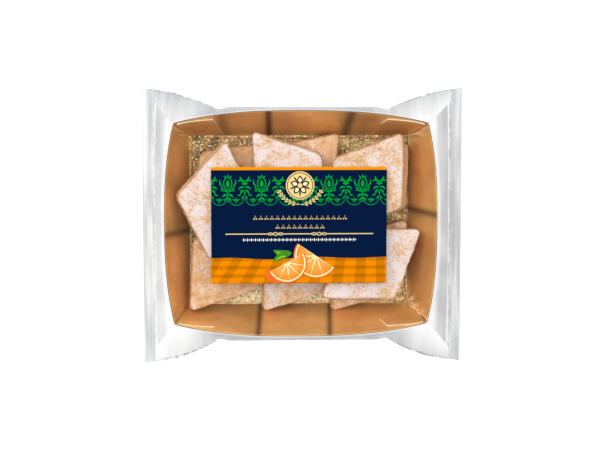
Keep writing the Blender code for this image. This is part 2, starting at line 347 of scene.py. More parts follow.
def join_sheets(mesh, back, front):
    """Faces of a sheet between two grids. Returns the faces of its edge, each with its (i, j)."""
    join_grid(mesh, back)
    join_grid(mesh, front)
    last_i = len(back) - 1
    last_j = len(back[0]) - 1
    loop = [(i, last_j) for i in range(last_i + 1)]
    loop += [(last_i, j) for j in range(last_j - 1, -1, -1)]
    loop += [(i, 0) for i in range(last_i - 1, -1, -1)]
    loop += [(0, j) for j in range(1, last_j)]
    edge = []
    for (i, j), (after_i, after_j) in zip(loop, loop[1:] + loop[:1]):
        corners = (back[i][j], front[i][j], front[after_i][after_j], back[after_i][after_j])
        edge.append((mesh.faces.new(corners), i, j))
    return edge


def new_piece(name, mesh, materials):
    """Object made of a bmesh, with smooth faces."""
    data = bpy.data.meshes.new(name)
    mesh.to_mesh(data)
    mesh.free()
    for finish in materials:
        data.materials.append(finish)
    data.shade_smooth()
    obj = bpy.data.objects.new(name, data)
    bpy.context.scene.collection.objects.link(obj)
    return obj


def plain_mesh(obj):
    """Turns the object with its modifiers into a plain mesh."""
    bpy.context.view_layer.update()
    graph = bpy.context.evaluated_depsgraph_get()
    data = bpy.data.meshes.new_from_object(obj.evaluated_get(graph))
    obj.modifiers.clear()
    obj.data = data
    data.name = obj.name
    return obj


def hand_in(obj, node):
    """The finished piece rides with the pack and stands for its solid."""
    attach(obj, "root")
    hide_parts(node)


def add_node(tree, kind, inputs=(), **settings):
    """Adds a node with its settings. An input takes a value, or a socket that it is linked to."""
    node = tree.nodes.new(kind)
    for name, value in settings.items():
        setattr(node, name, value)
    for socket, value in dict(inputs).items():
        if isinstance(value, bpy.types.NodeSocket):
            tree.links.new(value, node.inputs[socket])
        else:
            node.inputs[socket].default_value = value
    return node


def calculate(tree, operation, *values):
    """Result of a Math node. Each value is a number or a socket."""
    return add_node(tree, "ShaderNodeMath", enumerate(values), operation=operation).outputs[0]


def remap(tree, value, start, end, low=0.0, high=1.0, **settings):
    """How far value has come from start to end, brought to low to high."""
    return add_node(tree, "ShaderNodeMapRange", {
        "Value": value, "From Min": start, "From Max": end, "To Min": low, "To Max": high,
    }, **settings).outputs[0]


def blend(tree, share, first, second):
    """Colour between two, each a value or a socket."""
    return add_node(tree, "ShaderNodeMix", {0: share, 6: first, 7: second}, data_type="RGBA").outputs[2]


def ramp(tree, value, stops):
    """Colour by value. stops lists (position, hex value or RGBA)."""
    node = add_node(tree, "ShaderNodeValToRGB", {"Fac": value})
    elements = node.color_ramp.elements
    while len(elements) < len(stops):
        elements.new(1.0)
    for element, (position, colour) in zip(elements, stops):
        element.position = position
        element.color = hex_colour(colour) if isinstance(colour, str) else colour
    return node.outputs["Color"]


def attribute(tree, name):
    return add_node(tree, "ShaderNodeAttribute", attribute_name=name).outputs["Fac"]


def own_place(tree):
    return add_node(tree, "ShaderNodeTexCoord").outputs["Object"]


def mottle(tree, scale, detail=2.0, roughness=0.5):
    """Noise fixed to the piece, with scale lumps to the metre."""
    return add_node(tree, "ShaderNodeTexNoise", {
        "Vector": own_place(tree), "Scale": scale, "Detail": detail, "Roughness": roughness,
    }).outputs["Fac"]


def bump(tree, height, strength, distance):
    return add_node(tree, "ShaderNodeBump", {
        "Strength": strength, "Distance": distance, "Height": height,
    }).outputs["Normal"]


def new_material(name):
    """Empty material and its tree."""
    made = bpy.data.materials.new(name)
    made.use_nodes = True
    made.node_tree.nodes.clear()
    return made, made.node_tree


def finish_material(made, inputs):
    """Ends the material in one shader with these inputs."""
    shader = add_node(made.node_tree, "ShaderNodeBsdfPrincipled", inputs)
    add_node(made.node_tree, "ShaderNodeOutputMaterial", {"Surface": shader.outputs["BSDF"]})
    return made


# Shape of the film

def rim_half_y(x):
    reach = min(abs(x) / RIM_CORNER_X, 1.0)
    return RIM_CORNER_Y + RIM_BOW_Y * (1.0 - reach**BOW_POWER)


def rim_half_x(y):
    reach = min(abs(y) / RIM_CORNER_Y, 1.0)
    return RIM_CORNER_X + RIM_BOW_X * (1.0 - reach**BOW_POWER)


def outline_half_y(x):
    reach = abs(x)
    if reach <= NOTCH_X:
        return mix(SIDE_HALF_Y, NOTCH_HALF_Y, ease(portion(reach, STRAIGHT_X, NOTCH_X)))
    if reach <= EAR_X:
        return mix(NOTCH_HALF_Y, EAR_HALF_Y, portion(reach, NOTCH_X, EAR_X) ** EAR_ROUNDING)
    return mix(EAR_HALF_Y, FIN_ROOT_HALF_Y, portion(reach, EAR_X, FIN_ROOT_X))


def outline_z(x):
    reach = abs(x)
    if reach <= EAR_X:
        return mix(SIDE_Z, EAR_Z, ease(portion(reach, SIDE_DROP_X, EAR_X)))
    return mix(EAR_Z, FIN_ROOT_Z, portion(reach, EAR_X, FIN_ROOT_X))


def fin_root(t):
    side = math.copysign(1.0, t)
    if abs(t) <= 1.0:
        return Vector((FIN_ROOT_X, t * FIN_FOLD_HALF_Y, FIN_ROOT_Z))
    half = mix(FIN_FOLD_HALF_Y, FIN_ROOT_HALF_Y, abs(t) - 1.0)
    return Vector((FIN_ROOT_X, side * half, FIN_ROOT_Z))


def side_outline(x, side):
    in_ear = ease(portion(abs(x), EAR_START_X, EAR_WHOLE_X))
    centre_y = SIDE_CENTRE_Y * (1.0 - in_ear)
    return Vector((x, centre_y + side * outline_half_y(x), outline_z(x)))


def top_inner(s, t):
    along = min(abs(s), 1.0)
    sign = math.copysign(1.0, s)
    y = t * rim_half_y(along * RIM_CORNER_X)
    end_x = rim_half_x(min(abs(y), RIM_CORNER_Y))
    x = mix(along * RIM_CORNER_X, along * end_x, along**END_BOW_POWER)
    to_rim = min(end_x - x, rim_half_y(x) - abs(y))
    z = RIM_Z - FILM_SAG * ease(to_rim / SAG_REACH)
    point = TRAY_CENTRE + Vector((sign * x, y, z))
    if abs(s) <= 1.0:
        return point
    share = abs(s) - 1.0
    closing = fin_root(t)
    closing.x *= sign
    blended = point.lerp(closing, share)
    blended.z = mix(point.z, closing.z, share**END_FULLNESS)
    return blended


def bottom_inner(s, t):
    along = min(abs(s), 1.0)
    sign = math.copysign(1.0, s)
    floor = Vector((sign * along * FLOOR_HALF_X, t * FLOOR_HALF_Y, FILM_LIFT))
    point = TRAY_CENTRE + floor
    if abs(s) <= 1.0:
        return point
    share = abs(s) - 1.0
    closing = fin_root(t)
    closing.x *= sign
    return point.lerp(closing, share)


def fold_lift(point, s, t, height):
    """Height of the soft folds: along the fins, and fanned across the ears."""
    past_end = portion(abs(s), 1.0, 2.0)
    past_side = portion(abs(t), 1.0, 2.0)
    wander = wave(point.x * 0.3, point.y, 0.0, 30.0 * MM)
    swell = 0.65 + 0.5 * wave(point.x, point.y, 0.2, 16.0 * MM)
    along_fin = math.sin(math.tau * (2.1 * past_end + 0.5 * wander))
    along_fin *= 4.0 * past_end * (1.0 - past_end) * (1.0 - past_side) * swell
    in_ear = ease(portion(abs(s), 0.62, 0.95)) * (1.0 - ease(portion(abs(s), 1.8, 2.0)))
    across_ear = math.sin(math.tau * (1.6 * past_side + 0.4 * wander))
    across_ear *= 4.0 * past_side * (1.0 - past_side) * in_ear * swell
    return height * (along_fin + 1.3 * across_ear)


def film_point(s, t, upper, fold_height):
    """Point of the film. s is 1 at the tray's end and 2 at the fin, t is 2 at the film's edge."""
    sign = math.copysign(1.0, s)
    inner = top_inner if upper else bottom_inner
    point = inner(s, max(-1.0, min(1.0, t)))
    if abs(t) > 1.0:
        core = point
        middle_x = TRAY_CENTRE.x * max(0.0, 2.0 - max(abs(s), 1.0))
        if abs(s) <= 1.0:
            edge_x = s * RIM_CORNER_X
        else:
            edge_x = sign * mix(RIM_CORNER_X, FIN_ROOT_X, abs(s) - 1.0)
        edge = side_outline(middle_x + edge_x, math.copysign(1.0, t))
        share = abs(t) - 1.0
        point = core.lerp(edge, share)
        if upper:
            in_ear = ease(portion(abs(edge.x), STRAIGHT_X, EAR_X))
            point.z = mix(core.z, edge.z, share ** mix(SIDE_FULLNESS, EAR_FULLNESS, in_ear))
    if upper:
        point.z += fold_lift(point, s, t, fold_height)
    return point


def film_veil_and_painted_shade(point, s, t, upper):
    """How milky the film looks: 0 where it is tight over the tray, 1 where it is folded double. Its tones
    also hold painted shade that differs by side, it is clearer near the tray's ends and the rim's
    corners, and a clear line by each fin lets the white floor show as a painted highlight.
    """
    past_end = portion(abs(s), 1.0, 2.0)
    past_side = portion(abs(t), 1.0, 2.0)
    if not upper:
        return 0.15 * max(past_end, past_side)
    if abs(s) < 1.0 and abs(t) < 1.0:
        return 0.0
    streak = wave(point.x * 1.6, point.y * 0.22, 0.7, 5.0 * MM)
    patch = wave(point.x, point.y, 1.9, 16.0 * MM)
    in_ear = ease(portion(abs(s), 0.66, 0.95))
    near_tone, far_tone = EAR_TONES[s > 0.0, t > 0.0]
    ear_tone = mix(near_tone, far_tone, past_side**1.2)
    side_tone = mix(STRIP_TONE_UPPER if t > 0.0 else STRIP_TONE_LOWER, ear_tone, in_ear)
    side_tone = mix(side_tone, 1.0, ease(portion(past_side, 0.92, 0.98)))
    across = 0.5 + 0.5 * max(-1.0, min(1.0, t))
    end_tone = END_TONE if s > 0.0 else mix(END_TONE_LOWER_LEFT, END_TONE, across)
    end_tone *= mix(0.45, 1.0, ease(portion(past_end, 0.0, 0.30)))
    # painted highlight: a clear line near each fin shows the white floor as a bright crease
    painted_highlight_line = math.exp(-(((past_end - 0.90) / 0.05) ** 2))
    corner_reach = math.hypot(past_end - 0.15, 1.0 - min(abs(t), 1.0))
    end_tone *= (1.0 - 0.85 * painted_highlight_line) * (1.0 - 0.7 * math.exp(-((corner_reach / 0.22) ** 2)))
    tone = side_tone if abs(t) >= 1.0 else end_tone
    return min(max(tone * (1.0 + 0.22 * streak + 0.30 * patch), 0.0), 1.0)


def build_film(settings, finish):
    stations = steps(((1.0, 46), (2.0, 26)))
    rows = steps(((1.0, 40), (2.0, 16)))
    mesh = bmesh.new()
    veil = mesh.verts.layers.float.new("veil")
    for upper in (True, False):
        grid = []
        for s in stations:
            column = []
            for t in rows:
                point = film_point(s, t, upper, settings.fold_height)
                vertex = mesh.verts.new(point)
                vertex[veil] = film_veil_and_painted_shade(point, s, t, upper)
                column.append(vertex)
            grid.append(column)
        join_grid(mesh, grid, flip=not upper)
    bmesh.ops.remove_doubles(mesh, verts=mesh.verts, dist=0.002 * MM)
    bmesh.ops.recalc_face_normals(mesh, faces=mesh.faces)
    return new_piece("film_wrap", mesh, [finish])


def build_back_seal(finish):
    """The film tube's lengthwise seal, folded flat against the underside."""
    mesh = bmesh.new()
    stations = steps(((1.0, 30), (2.0, 16)))
    half_t = SEAL_HALF_WIDTH / FLOOR_HALF_Y
    grids = []
    for z in SEAL_FACES_Z:
        grid = []
        for s in stations:
            line = [bottom_inner(s, row * half_t) for row in (-1.0, -0.5, 0.0, 0.5, 1.0)]
            grid.append([mesh.verts.new(point + Vector((0.0, 0.0, z))) for point in line])
        grids.append(grid)
    join_sheets(mesh, *grids)
    bmesh.ops.recalc_face_normals(mesh, faces=mesh.faces)
    return new_piece("film_back_seal", mesh, [finish])


# Crimped fins, by Geometry Nodes

def new_geometry_tree(name, inputs):
    """Node group with a geometry output and the named inputs, given as (name, kind, default)."""
    tree = bpy.data.node_groups.new(name, "GeometryNodeTree")
    tree.interface.new_socket(name="Geometry", in_out="OUTPUT", socket_type="NodeSocketGeometry")
    for label, kind, default in inputs:
        socket = tree.interface.new_socket(name=label, in_out="INPUT", socket_type=kind)
        if default is not None:
            socket.default_value = default
    return tree, add_node(tree, "NodeGroupInput"), add_node(tree, "NodeGroupOutput")


def end_tree(tree, geometry, output, finish):
    """Ends the tree in Realize Instances and Set Material."""
    real = add_node(tree, "GeometryNodeRealizeInstances", {0: geometry})
    coated = add_node(
        tree, "GeometryNodeSetMaterial", {"Geometry": real.outputs[0], "Material": finish}
    )
    tree.links.new(coated.outputs[0], output.inputs[0])


def run_tree(name, tree, values):
    """New object with the tree's result as its plain mesh."""
    obj = bpy.data.objects.new(name, bpy.data.meshes.new(name))
    bpy.context.scene.collection.objects.link(obj)
    modifier = obj.modifiers.new(name, "NODES")
    modifier.node_group = tree
    for item in tree.interface.items_tree:
        if item.item_type == "SOCKET" and item.in_out == "INPUT" and item.name in values:
            modifier[item.identifier] = values[item.name]
    return plain_mesh(obj)


def crimp_tree(finish):
    """A thin strip whose height follows a wave across its width: ribs parallel to its length."""
    tree, given, output = new_geometry_tree("Crimped fin", (
        ("Width", "NodeSocketFloat", 7.6 * MM),
        ("Length", "NodeSocketFloat", 180.0 * MM),
        ("Thickness", "NodeSocketFloat", 0.3 * MM),
        ("Rib Pitch", "NodeSocketFloat", 1.5 * MM),
        ("Rib Height", "NodeSocketFloat", 0.2 * MM),
        ("Widening", "NodeSocketFloat", 0.011),
        ("Rise", "NodeSocketFloat", 1.2 * MM),
    ))
    width = given.outputs["Width"]
    size = add_node(tree, "ShaderNodeCombineXYZ", {
        0: width, 1: given.outputs["Length"], 2: given.outputs["Thickness"],
    })
    strip = add_node(tree, "GeometryNodeMeshCube", {
        "Size": size.outputs[0], "Vertices X": 56, "Vertices Y": 150, "Vertices Z": 2,
    })
    place = add_node(tree, "GeometryNodeInputPosition").outputs[0]
    x, y, _ = add_node(tree, "ShaderNodeSeparateXYZ", {0: place}).outputs
    turns = calculate(tree, "DIVIDE", x, given.outputs["Rib Pitch"])
    rib = calculate(tree, "SINE", calculate(tree, "MULTIPLY", turns, math.tau))
    rib_z = calculate(tree, "MULTIPLY", rib, given.outputs["Rib Height"])
    across = calculate(tree, "DIVIDE", x, width)
    rise_z = calculate(tree, "MULTIPLY", across, given.outputs["Rise"])
    ripple = add_node(tree, "ShaderNodeTexNoise", {"Vector": place, "Scale": 28.0, "Detail": 1.0})
    swing = calculate(tree, "SUBTRACT", ripple.outputs[0], 0.5)
    ripple_z = calculate(tree, "MULTIPLY", swing, 0.9 * MM)
    height = calculate(tree, "ADD", calculate(tree, "ADD", rib_z, rise_z), ripple_z)
    stretch = calculate(tree, "MULTIPLY", across, given.outputs["Widening"])
    outwards = calculate(tree, "MULTIPLY", y, stretch)
    move = add_node(tree, "ShaderNodeCombineXYZ", {1: outwards, 2: height})
    shaped = add_node(tree, "GeometryNodeSetPosition", {
        "Geometry": strip.outputs[0], "Offset": move.outputs[0],
    })
    end_tree(tree, shaped.outputs[0], output, finish)
    return tree


def build_fin(name, side, settings, finish):
    width = FIN_END_X - FIN_ROOT_X
    half_end = FIN_END_HALF_Y - 0.2 * MM
    fin = run_tree(name, crimp_tree(finish), {
        "Width": width - 0.2 * MM,
        "Length": FIN_ROOT_HALF_Y + half_end,
        "Rib Pitch": settings.rib_pitch,
        "Rib Height": settings.rib_height,
        "Widening": (half_end - FIN_ROOT_HALF_Y) / FIN_ROOT_HALF_Y,
        "Rise": FIN_END_Z - FIN_ROOT_Z,
    })
    middle = Vector((0.5 * (FIN_ROOT_X + FIN_END_X) - 0.1 * MM, 0.0, 0.5 * (FIN_ROOT_Z + FIN_END_Z)))
    turn = Matrix.Rotation(0.0 if side > 0 else math.pi, 4, "Z")
    fin.data.transform(turn @ Matrix.Translation(middle))
    # painted shade: the left fin gets a paler tone than the right
    tone = FIN_TONE_RIGHT if side > 0 else FIN_TONE_LEFT
    values = [tone + 0.24 * wave(v.co.x * 3.0, v.co.y * 0.2, 3.1, 6.0 * MM) for v in fin.data.vertices]
    layer = fin.data.attributes.new("veil", "FLOAT", "POINT")
    layer.data.foreach_set("value", values)
    fin.data.shade_smooth()
    return fin


# Card tray

def tray_floor_corner():
    return FLOOR_HALF_X - FLOOR_INSET, FLOOR_HALF_Y - FLOOR_INSET


def closing_in(cells):
    """Values from 0 to 1, closer together near 1."""
    return [math.sin(0.5 * math.pi * k / cells) for k in range(cells + 1)]


def tray_quarter():
    """(floor point, rim point) along a quarter of the walls, from an end's middle to a side's."""
    floor_x, floor_y = tray_floor_corner()
    top_z = RIM_Z - RIM_DROP
    end_wall = []
    for a in closing_in(END_WALL_CELLS):
        y = a * (RIM_CORNER_Y - CORNER_CUT_Y)
        rim = Vector((rim_half_x(y) - RIM_INSET, y, top_z))
        end_wall.append((Vector((floor_x, a * floor_y, FLOOR_Z)), rim))
    long_wall = []
    for a in closing_in(LONG_WALL_CELLS):
        x = a * (RIM_CORNER_X - CORNER_CUT_X)
        rim = Vector((x, rim_half_y(x) - RIM_INSET, top_z))
        long_wall.append((Vector((a * floor_x, floor_y, FLOOR_Z)), rim))
    foot, start = end_wall[-1]
    finish = long_wall[-1][1]
    bend = Vector((start.x, finish.y, top_z)).lerp(0.5 * (start + finish), 0.35)
    corner = []
    for k in range(1, 8):
        share = k / 8.0
        corner.append((foot.copy(), start.lerp(bend, share).lerp(bend.lerp(finish, share), share)))
    return end_wall + corner + long_wall[::-1]


def wall_columns():
    """(floor point, rim point, corner's crumpling and glint strength) once round the tray."""
    quarter = tray_quarter()
    columns = []
    for x_side, y_side, creased in CORNER_CRUMPLING_AND_GLINT:
        part = quarter if x_side == y_side else quarter[::-1]
        for foot, rim in part[:-1]:
            mirrored = [Vector((p.x * x_side, p.y * y_side, p.z)) for p in (foot, rim)]
            columns.append((*mirrored, creased))
    return columns


def corner_creases_and_glint(foot, point, h, strength):
    """How creased the foil is beside a corner, in rays off the fold, widest at the floor. It pushes the
    wall in, and its painted glint makes the foil pale.
    """
    floor_x, floor_y = tray_floor_corner()
    corner = Vector((math.copysign(floor_x, foot.x), math.copysign(floor_y, foot.y), FLOOR_Z))
    if floor_y - abs(foot.y) > 0.01 * MM:
        gap = mix(floor_y, RIM_CORNER_Y - CORNER_CUT_Y, h) - abs(point.y)
        share = 1.0
    else:
        gap = mix(floor_x, RIM_CORNER_X - CORNER_CUT_X, h) - abs(point.x)
        share = 0.3
    away = point - corner
    angle = math.atan2(max(gap, 0.0), max(away.length, 0.1 * MM))
    rays = noise.noise(Vector((angle * 13.0, corner.x * 50.0 + corner.y * 31.0, h * 3.0)))
    reach = 1.2 * MM + 7.5 * MM * (1.0 - h) ** 1.5
    fade = math.exp(-max(gap, 0.0) / reach) * (1.0 - 0.45 * h)
    return strength * share * fade * max(0.0, 0.35 + 2.2 * rays)


def painted_wall_shade(foot, point, h):
    """How dark the painted shade makes a wall at its point, from 0 to 1."""
    _, floor_y = tray_floor_corner()
    if floor_y - abs(foot.y) < 0.01 * MM:
        wall = "top" if foot.y > 0.0 else "bottom"
        along = point.x
    else:
        wall = "right" if foot.x > 0.0 else "left"
        along = point.y
    tone = 0.0
    for name, at_floor, at_rim, half_width, depth in WALL_SHADE_BANDS:
        if name == wall:
            offset = along / MM - mix(at_floor, at_rim, h)
            tone += depth * math.exp(-((offset / half_width) ** 2))
    return min(tone, 1.0)


def floor_painted_reflection(x, y):
    """Painted reflection of the floor's foil, how bright it mirrors from 0 to 1: brightest near its lower
    left corner.
    """
    low = ease(portion(-y, 15.0 * MM, 40.0 * MM))
    left = ease(portion(-x, -35.0 * MM, -10.0 * MM))
    upper_tone = mix(0.42, 0.28, left)
    lower_tone = mix(0.58, 0.98, left)
    return mix(upper_tone, lower_tone, low)


def build_tray(finishes):
    floor_x, floor_y = tray_floor_corner()
    mesh = bmesh.new()
    crease = mesh.verts.layers.float.new("crease")
    band = mesh.verts.layers.float.new("band")
    glow = mesh.verts.layers.float.new("glow")
    grid = []
    for foot, rim, strength in wall_columns():
        inward = Vector((-foot.x, -foot.y, 0.0))
        inward.x *= abs(foot.x) > floor_x - 0.01 * MM
        inward.y *= abs(foot.y) > floor_y - 0.01 * MM
        inward.normalize()
        line = []
        for k in range(WALL_ROWS + 1):
            h = k / WALL_ROWS
            point = foot.lerp(rim, h)
            creased = corner_creases_and_glint(foot, point, h, strength)
            push = 0.20 * MM * wave(point.x, point.y, point.z, 14.0 * MM) + 0.7 * MM * creased
            push *= math.sin(math.pi * h) ** 0.5 if 0.0 < h < 1.0 else 0.0
            bead = 0.25 * MM * math.exp(-(((h - 0.05) / 0.03) ** 2)) if h > 0.0 else 0.0
            vertex = mesh.verts.new(TRAY_CENTRE + point + inward * (push + bead))
            # the crease's share kept for the material is a painted glint
            vertex[crease] = min(creased, 1.0)
            # painted shade on the walls
            vertex[band] = painted_wall_shade(foot, point, h)
            vertex[glow] = floor_painted_reflection(foot.x, foot.y)
            line.append(vertex)
        grid.append(line)
    join_grid(mesh, grid + grid[:1])
    along = [a * floor_x for a in closing_in(LONG_WALL_CELLS)]
    across = [a * floor_y for a in closing_in(END_WALL_CELLS)]
    flat = []
    for x in [-a for a in along[:0:-1]] + along:
        line = []
        for y in [-a for a in across[:0:-1]] + across:
            to_edge = min(floor_x - abs(x), floor_y - abs(y))
            bead = 0.25 * MM * math.exp(-(((to_edge - 1.4 * MM) / (0.5 * MM)) ** 2))
            ripple = 0.12 * MM * wave(x, y, 0.4, 9.0 * MM) * ease(to_edge / (4.0 * MM))
            vertex = mesh.verts.new(TRAY_CENTRE + Vector((x, y, FLOOR_Z + bead + ripple)))
            vertex[glow] = floor_painted_reflection(x, y)
            line.append(vertex)
        flat.append(line)
    join_grid(mesh, flat, material=2)
    bmesh.ops.remove_doubles(mesh, verts=mesh.verts, dist=0.01 * MM)
    bmesh.ops.recalc_face_normals(mesh, faces=mesh.faces)
    if max(mesh.faces, key=lambda face: face.calc_area()).normal.z < 0.0:
        bmesh.ops.reverse_faces(mesh, faces=mesh.faces)
    tray = new_piece("tray", mesh, finishes)
    shell = tray.modifiers.new("Card", "SOLIDIFY")
    shell.thickness = CARD_THICKNESS
    shell.offset = -1.0
    shell.material_offset = 1
    shell.material_offset_rim = 4
    return plain_mesh(tray)


def long_wall_point(x, side, h):
    """Point on the inner face of a long wall, in the tray's coordinates."""
    floor_x, floor_y = tray_floor_corner()
    rim_x = x / floor_x * (RIM_CORNER_X - CORNER_CUT_X)
    foot = Vector((x, side * floor_y, FLOOR_Z))
    rim = Vector((rim_x, side * (rim_half_y(rim_x) - RIM_INSET), RIM_Z - RIM_DROP))
    return foot.lerp(rim, h)


def tab_point(settings, end, side, along, up, depth):
    """Point of a corner tab. along and up run from 0 to 1, depth is measured off the wall."""
    floor_x, _ = tray_floor_corner()
    h = mix(0.03, mix(1.0, TAB_TOP_LINE, along), up)
    slant = TAB_SLANT_RIGHT if end > 0.0 else TAB_SLANT_LEFT
    reach = settings.tab_length + (1.0 - h) * slant
    away = along * reach
    x = end * (floor_x - 0.4 * MM - away * floor_x / RIM_CORNER_X)
    stand_off = 0.15 * MM + 0.7 * MM * math.exp(-away / (2.5 * MM)) * h
    thin = mix(0.06, 1.0, ease(portion(up, 0.55, 0.85)))
    point = long_wall_point(x, side, h)
    point.y -= side * (stand_off + depth * thin)
    point.z += depth * 0.35 * thin
    return point + TRAY_CENTRE


def build_tabs(settings, finishes):
    """Four glued corner tabs: ends of the short walls, folded onto the long walls."""
    mesh = bmesh.new()
    cells_u = 30
    cells_h = 22
    for end, side in ((-1.0, -1.0), (-1.0, 1.0), (1.0, -1.0), (1.0, 1.0)):
        back, front = [
            [
                [
                    mesh.verts.new(tab_point(settings, end, side, i / cells_u, j / cells_h, depth))
                    for j in range(cells_h + 1)
                ]
                for i in range(cells_u + 1)
            ]
            for depth in (0.0, settings.tab_thickness)
        ]
        for face, i, j in join_sheets(mesh, back, front):
            if j > TAB_BOARD_FROM * cells_h:
                # painted shade: the tab's upper cut end at the corner takes the dark foil, standing for
                # the shadowed slot
                face.material_index = 1 if i > 0 else 2
    bmesh.ops.recalc_face_normals(mesh, faces=mesh.faces)
    tabs = new_piece("tray_tabs", mesh, finishes)
    tabs.data.set_sharp_from_angle(angle=math.radians(40.0))
    return tabs


# Biscuits

def lozenge(long_half, short_half, inset):
    """Closed outline of a lozenge with rounded corners, long diagonal along X, moved in by inset."""
    tip_angle = math.atan2(short_half, long_half)
    side_angle = 0.5 * math.pi - tip_angle
    tip = (long_half, TIP_RADIUS, tip_angle)
    side_corner = (short_half, SIDE_CORNER_RADIUS, side_angle)
    arcs = []
    for quarter, (reach, radius, half_angle) in enumerate((tip, side_corner, tip, side_corner)):
        facing = 0.5 * math.pi * quarter
        centre = Vector((math.cos(facing), math.sin(facing))) * (reach - radius / math.sin(half_angle))
        arc = []
        for k in range(9):
            angle = facing + mix(-1.0, 1.0, k / 8.0) * (0.5 * math.pi - half_angle)
            arc.append(centre + Vector((math.cos(angle), math.sin(angle))) * (radius - inset))
        arcs.append(arc)
    outline = []
    for arc, after in zip(arcs, arcs[1:] + arcs[:1]):
        outline += arc
        outline += [arc[-1].lerp(after[0], n / 46.0) for n in range(1, 46)]
    return outline


def biscuit_rings(long_half, short_half):
    """Rings of a biscuit from its underside to its top: each a list of (x, y, share of the height)."""
    foot = lozenge(long_half, short_half, BISCUIT_SIDE[0][0])
    rings = [[(p.x * scale, p.y * scale, 0.0) for p in foot] for scale in (0.3, 0.65, 0.88)]
    for inset, level in BISCUIT_SIDE:
        rings.append([(p.x, p.y, level) for p in lozenge(long_half, short_half, inset)])
    crown = lozenge(long_half, short_half, BISCUIT_SIDE[-1][0])
    for k in range(1, BISCUIT_TOP_RINGS):
        scale = 1.0 - k / BISCUIT_TOP_RINGS
        level = 1.0 + BISCUIT_DOME * (1.0 - scale**2)
        rings.append([(p.x * scale, p.y * scale, level) for p in crown])
    return rings


def build_biscuit(row, height, finish):
    name, x, y, z, long_half, short_half, turn, raised, lift, sugar = row
    phase = x * 0.37 + y * 0.11
    mesh = bmesh.new()
    sugar_layer = mesh.verts.layers.float.new("sugar")
    rings = []
    for flat_ring in biscuit_rings(long_half, short_half):
        ring = []
        for px, py, level in flat_ring:
            wobble = 1.0 + 0.020 * noise.noise(Vector((px / 14.0, py / 14.0, phase)))
            ring.append(mesh.verts.new((px * wobble, py * wobble, level * height / MM)))
        rings.append(ring)
    for low, high in zip(rings, rings[1:]):
        for k in range(len(low)):
            mesh.faces.new((low[k - 1], low[k], high[k], high[k - 1]))
    under = mesh.verts.new((0.0, 0.0, 0.0))
    crown = mesh.verts.new((0.0, 0.0, (1.0 + BISCUIT_DOME) * height / MM))
    for k in range(len(rings[0])):
        mesh.faces.new((under, rings[0][k], rings[0][k - 1]))
        mesh.faces.new((crown, rings[-1][k - 1], rings[-1][k]))
    bmesh.ops.recalc_face_normals(mesh, faces=mesh.faces)
    mesh.normal_update()
    seed = Vector((phase, 3.0 * phase, 0.0))
    for vertex in mesh.verts:
        co = vertex.co
        side = 1.0 - abs(vertex.normal.z)
        push = -SIDE_SHRINK * side
        for size, rise, side_rise in CRUST_LUMPS:
            push += (rise + side_rise * side) * noise.noise(co / size + seed)
        push -= 0.5 * max(0.0, noise.noise(co / CRUST_PIT_SIZE - seed) - CRUST_PIT_FROM)
        patch = noise.noise(Vector((co.x / 8.0, co.y / 8.0, phase + 4.0)))
        facing = portion(vertex.normal.z, 0.1, 0.8)
        vertex[sugar_layer] = portion(sugar * (0.45 + 0.55 * facing) + 0.45 * patch, 0.0, 1.0)
        if vertex.normal.z < -0.5:
            push *= 0.3
        vertex.co = co + vertex.normal * push
    biscuit = new_piece(f"{name}_baked", mesh, [finish])
    toward = Vector((math.cos(math.radians(raised)), math.sin(math.radians(raised)), 0.0))
    axis = toward.cross(Vector((0.0, 0.0, 1.0)))
    place = (
        Matrix.Translation(TRAY_CENTRE + Vector((x, y, z)) * MM)
        @ Matrix.Rotation(math.radians(lift), 4, axis)
        @ Matrix.Rotation(math.radians(turn), 4, "Z")
        @ Matrix.Scale(MM, 4)
    )
    biscuit.data.transform(place)
    return biscuit


def grain_tree(finish):
    """Tiny sugar crystals, scattered where the crust's sugar is thick and it faces up."""
    tree, given, output = new_geometry_tree("Sugar grains", (
        ("Crust", "NodeSocketObject", None),
        ("Density", "NodeSocketFloat", 2.0e5),
        ("Size", "NodeSocketFloat", 0.4 * MM),
        ("Seed", "NodeSocketInt", GRAIN_SEED),
    ))
    crust = add_node(tree, "GeometryNodeObjectInfo", {"Object": given.outputs["Crust"]})
    sugar = add_node(tree, "GeometryNodeInputNamedAttribute", {"Name": "sugar"}, data_type="FLOAT")
    normal = add_node(tree, "GeometryNodeInputNormal")
    _, _, up = add_node(tree, "ShaderNodeSeparateXYZ", {0: normal.outputs[0]}).outputs
    share = calculate(tree, "MULTIPLY", sugar.outputs["Attribute"], remap(tree, up, 0.15, 0.8))
    density = calculate(tree, "MULTIPLY", share, given.outputs["Density"])
    points = add_node(tree, "GeometryNodeDistributePointsOnFaces", {
        "Mesh": crust.outputs["Geometry"], "Density": density, "Seed": given.outputs["Seed"],
    }, distribute_method="RANDOM")
    grain = add_node(tree, "GeometryNodeMeshCube", {"Size": (1.0, 0.8, 0.6)})
    size = add_node(tree, "FunctionNodeRandomValue", {
        2: 0.35, 3: 1.0, "Seed": given.outputs["Seed"],
    }, data_type="FLOAT")
    scale = calculate(tree, "MULTIPLY", size.outputs[1], given.outputs["Size"])
    turn = add_node(tree, "FunctionNodeRandomValue", {
        0: (0.0, 0.0, 0.0), 1: (math.tau, math.tau, math.tau), "Seed": given.outputs["Seed"],
    }, data_type="FLOAT_VECTOR")
    placed = add_node(tree, "GeometryNodeInstanceOnPoints", {
        "Points": points.outputs["Points"], "Instance": grain.outputs[0],
        "Rotation": turn.outputs[0], "Scale": scale,
    })
    end_tree(tree, placed.outputs[0], output, finish)
    return tree


# Print on the label, in millimetres from its middle

def around(middle, radius, degrees):
    """Point at a radius and an angle from the middle."""
    angle = math.radians(degrees)
    return (middle[0] + radius * math.cos(angle), middle[1] + radius * math.sin(angle))


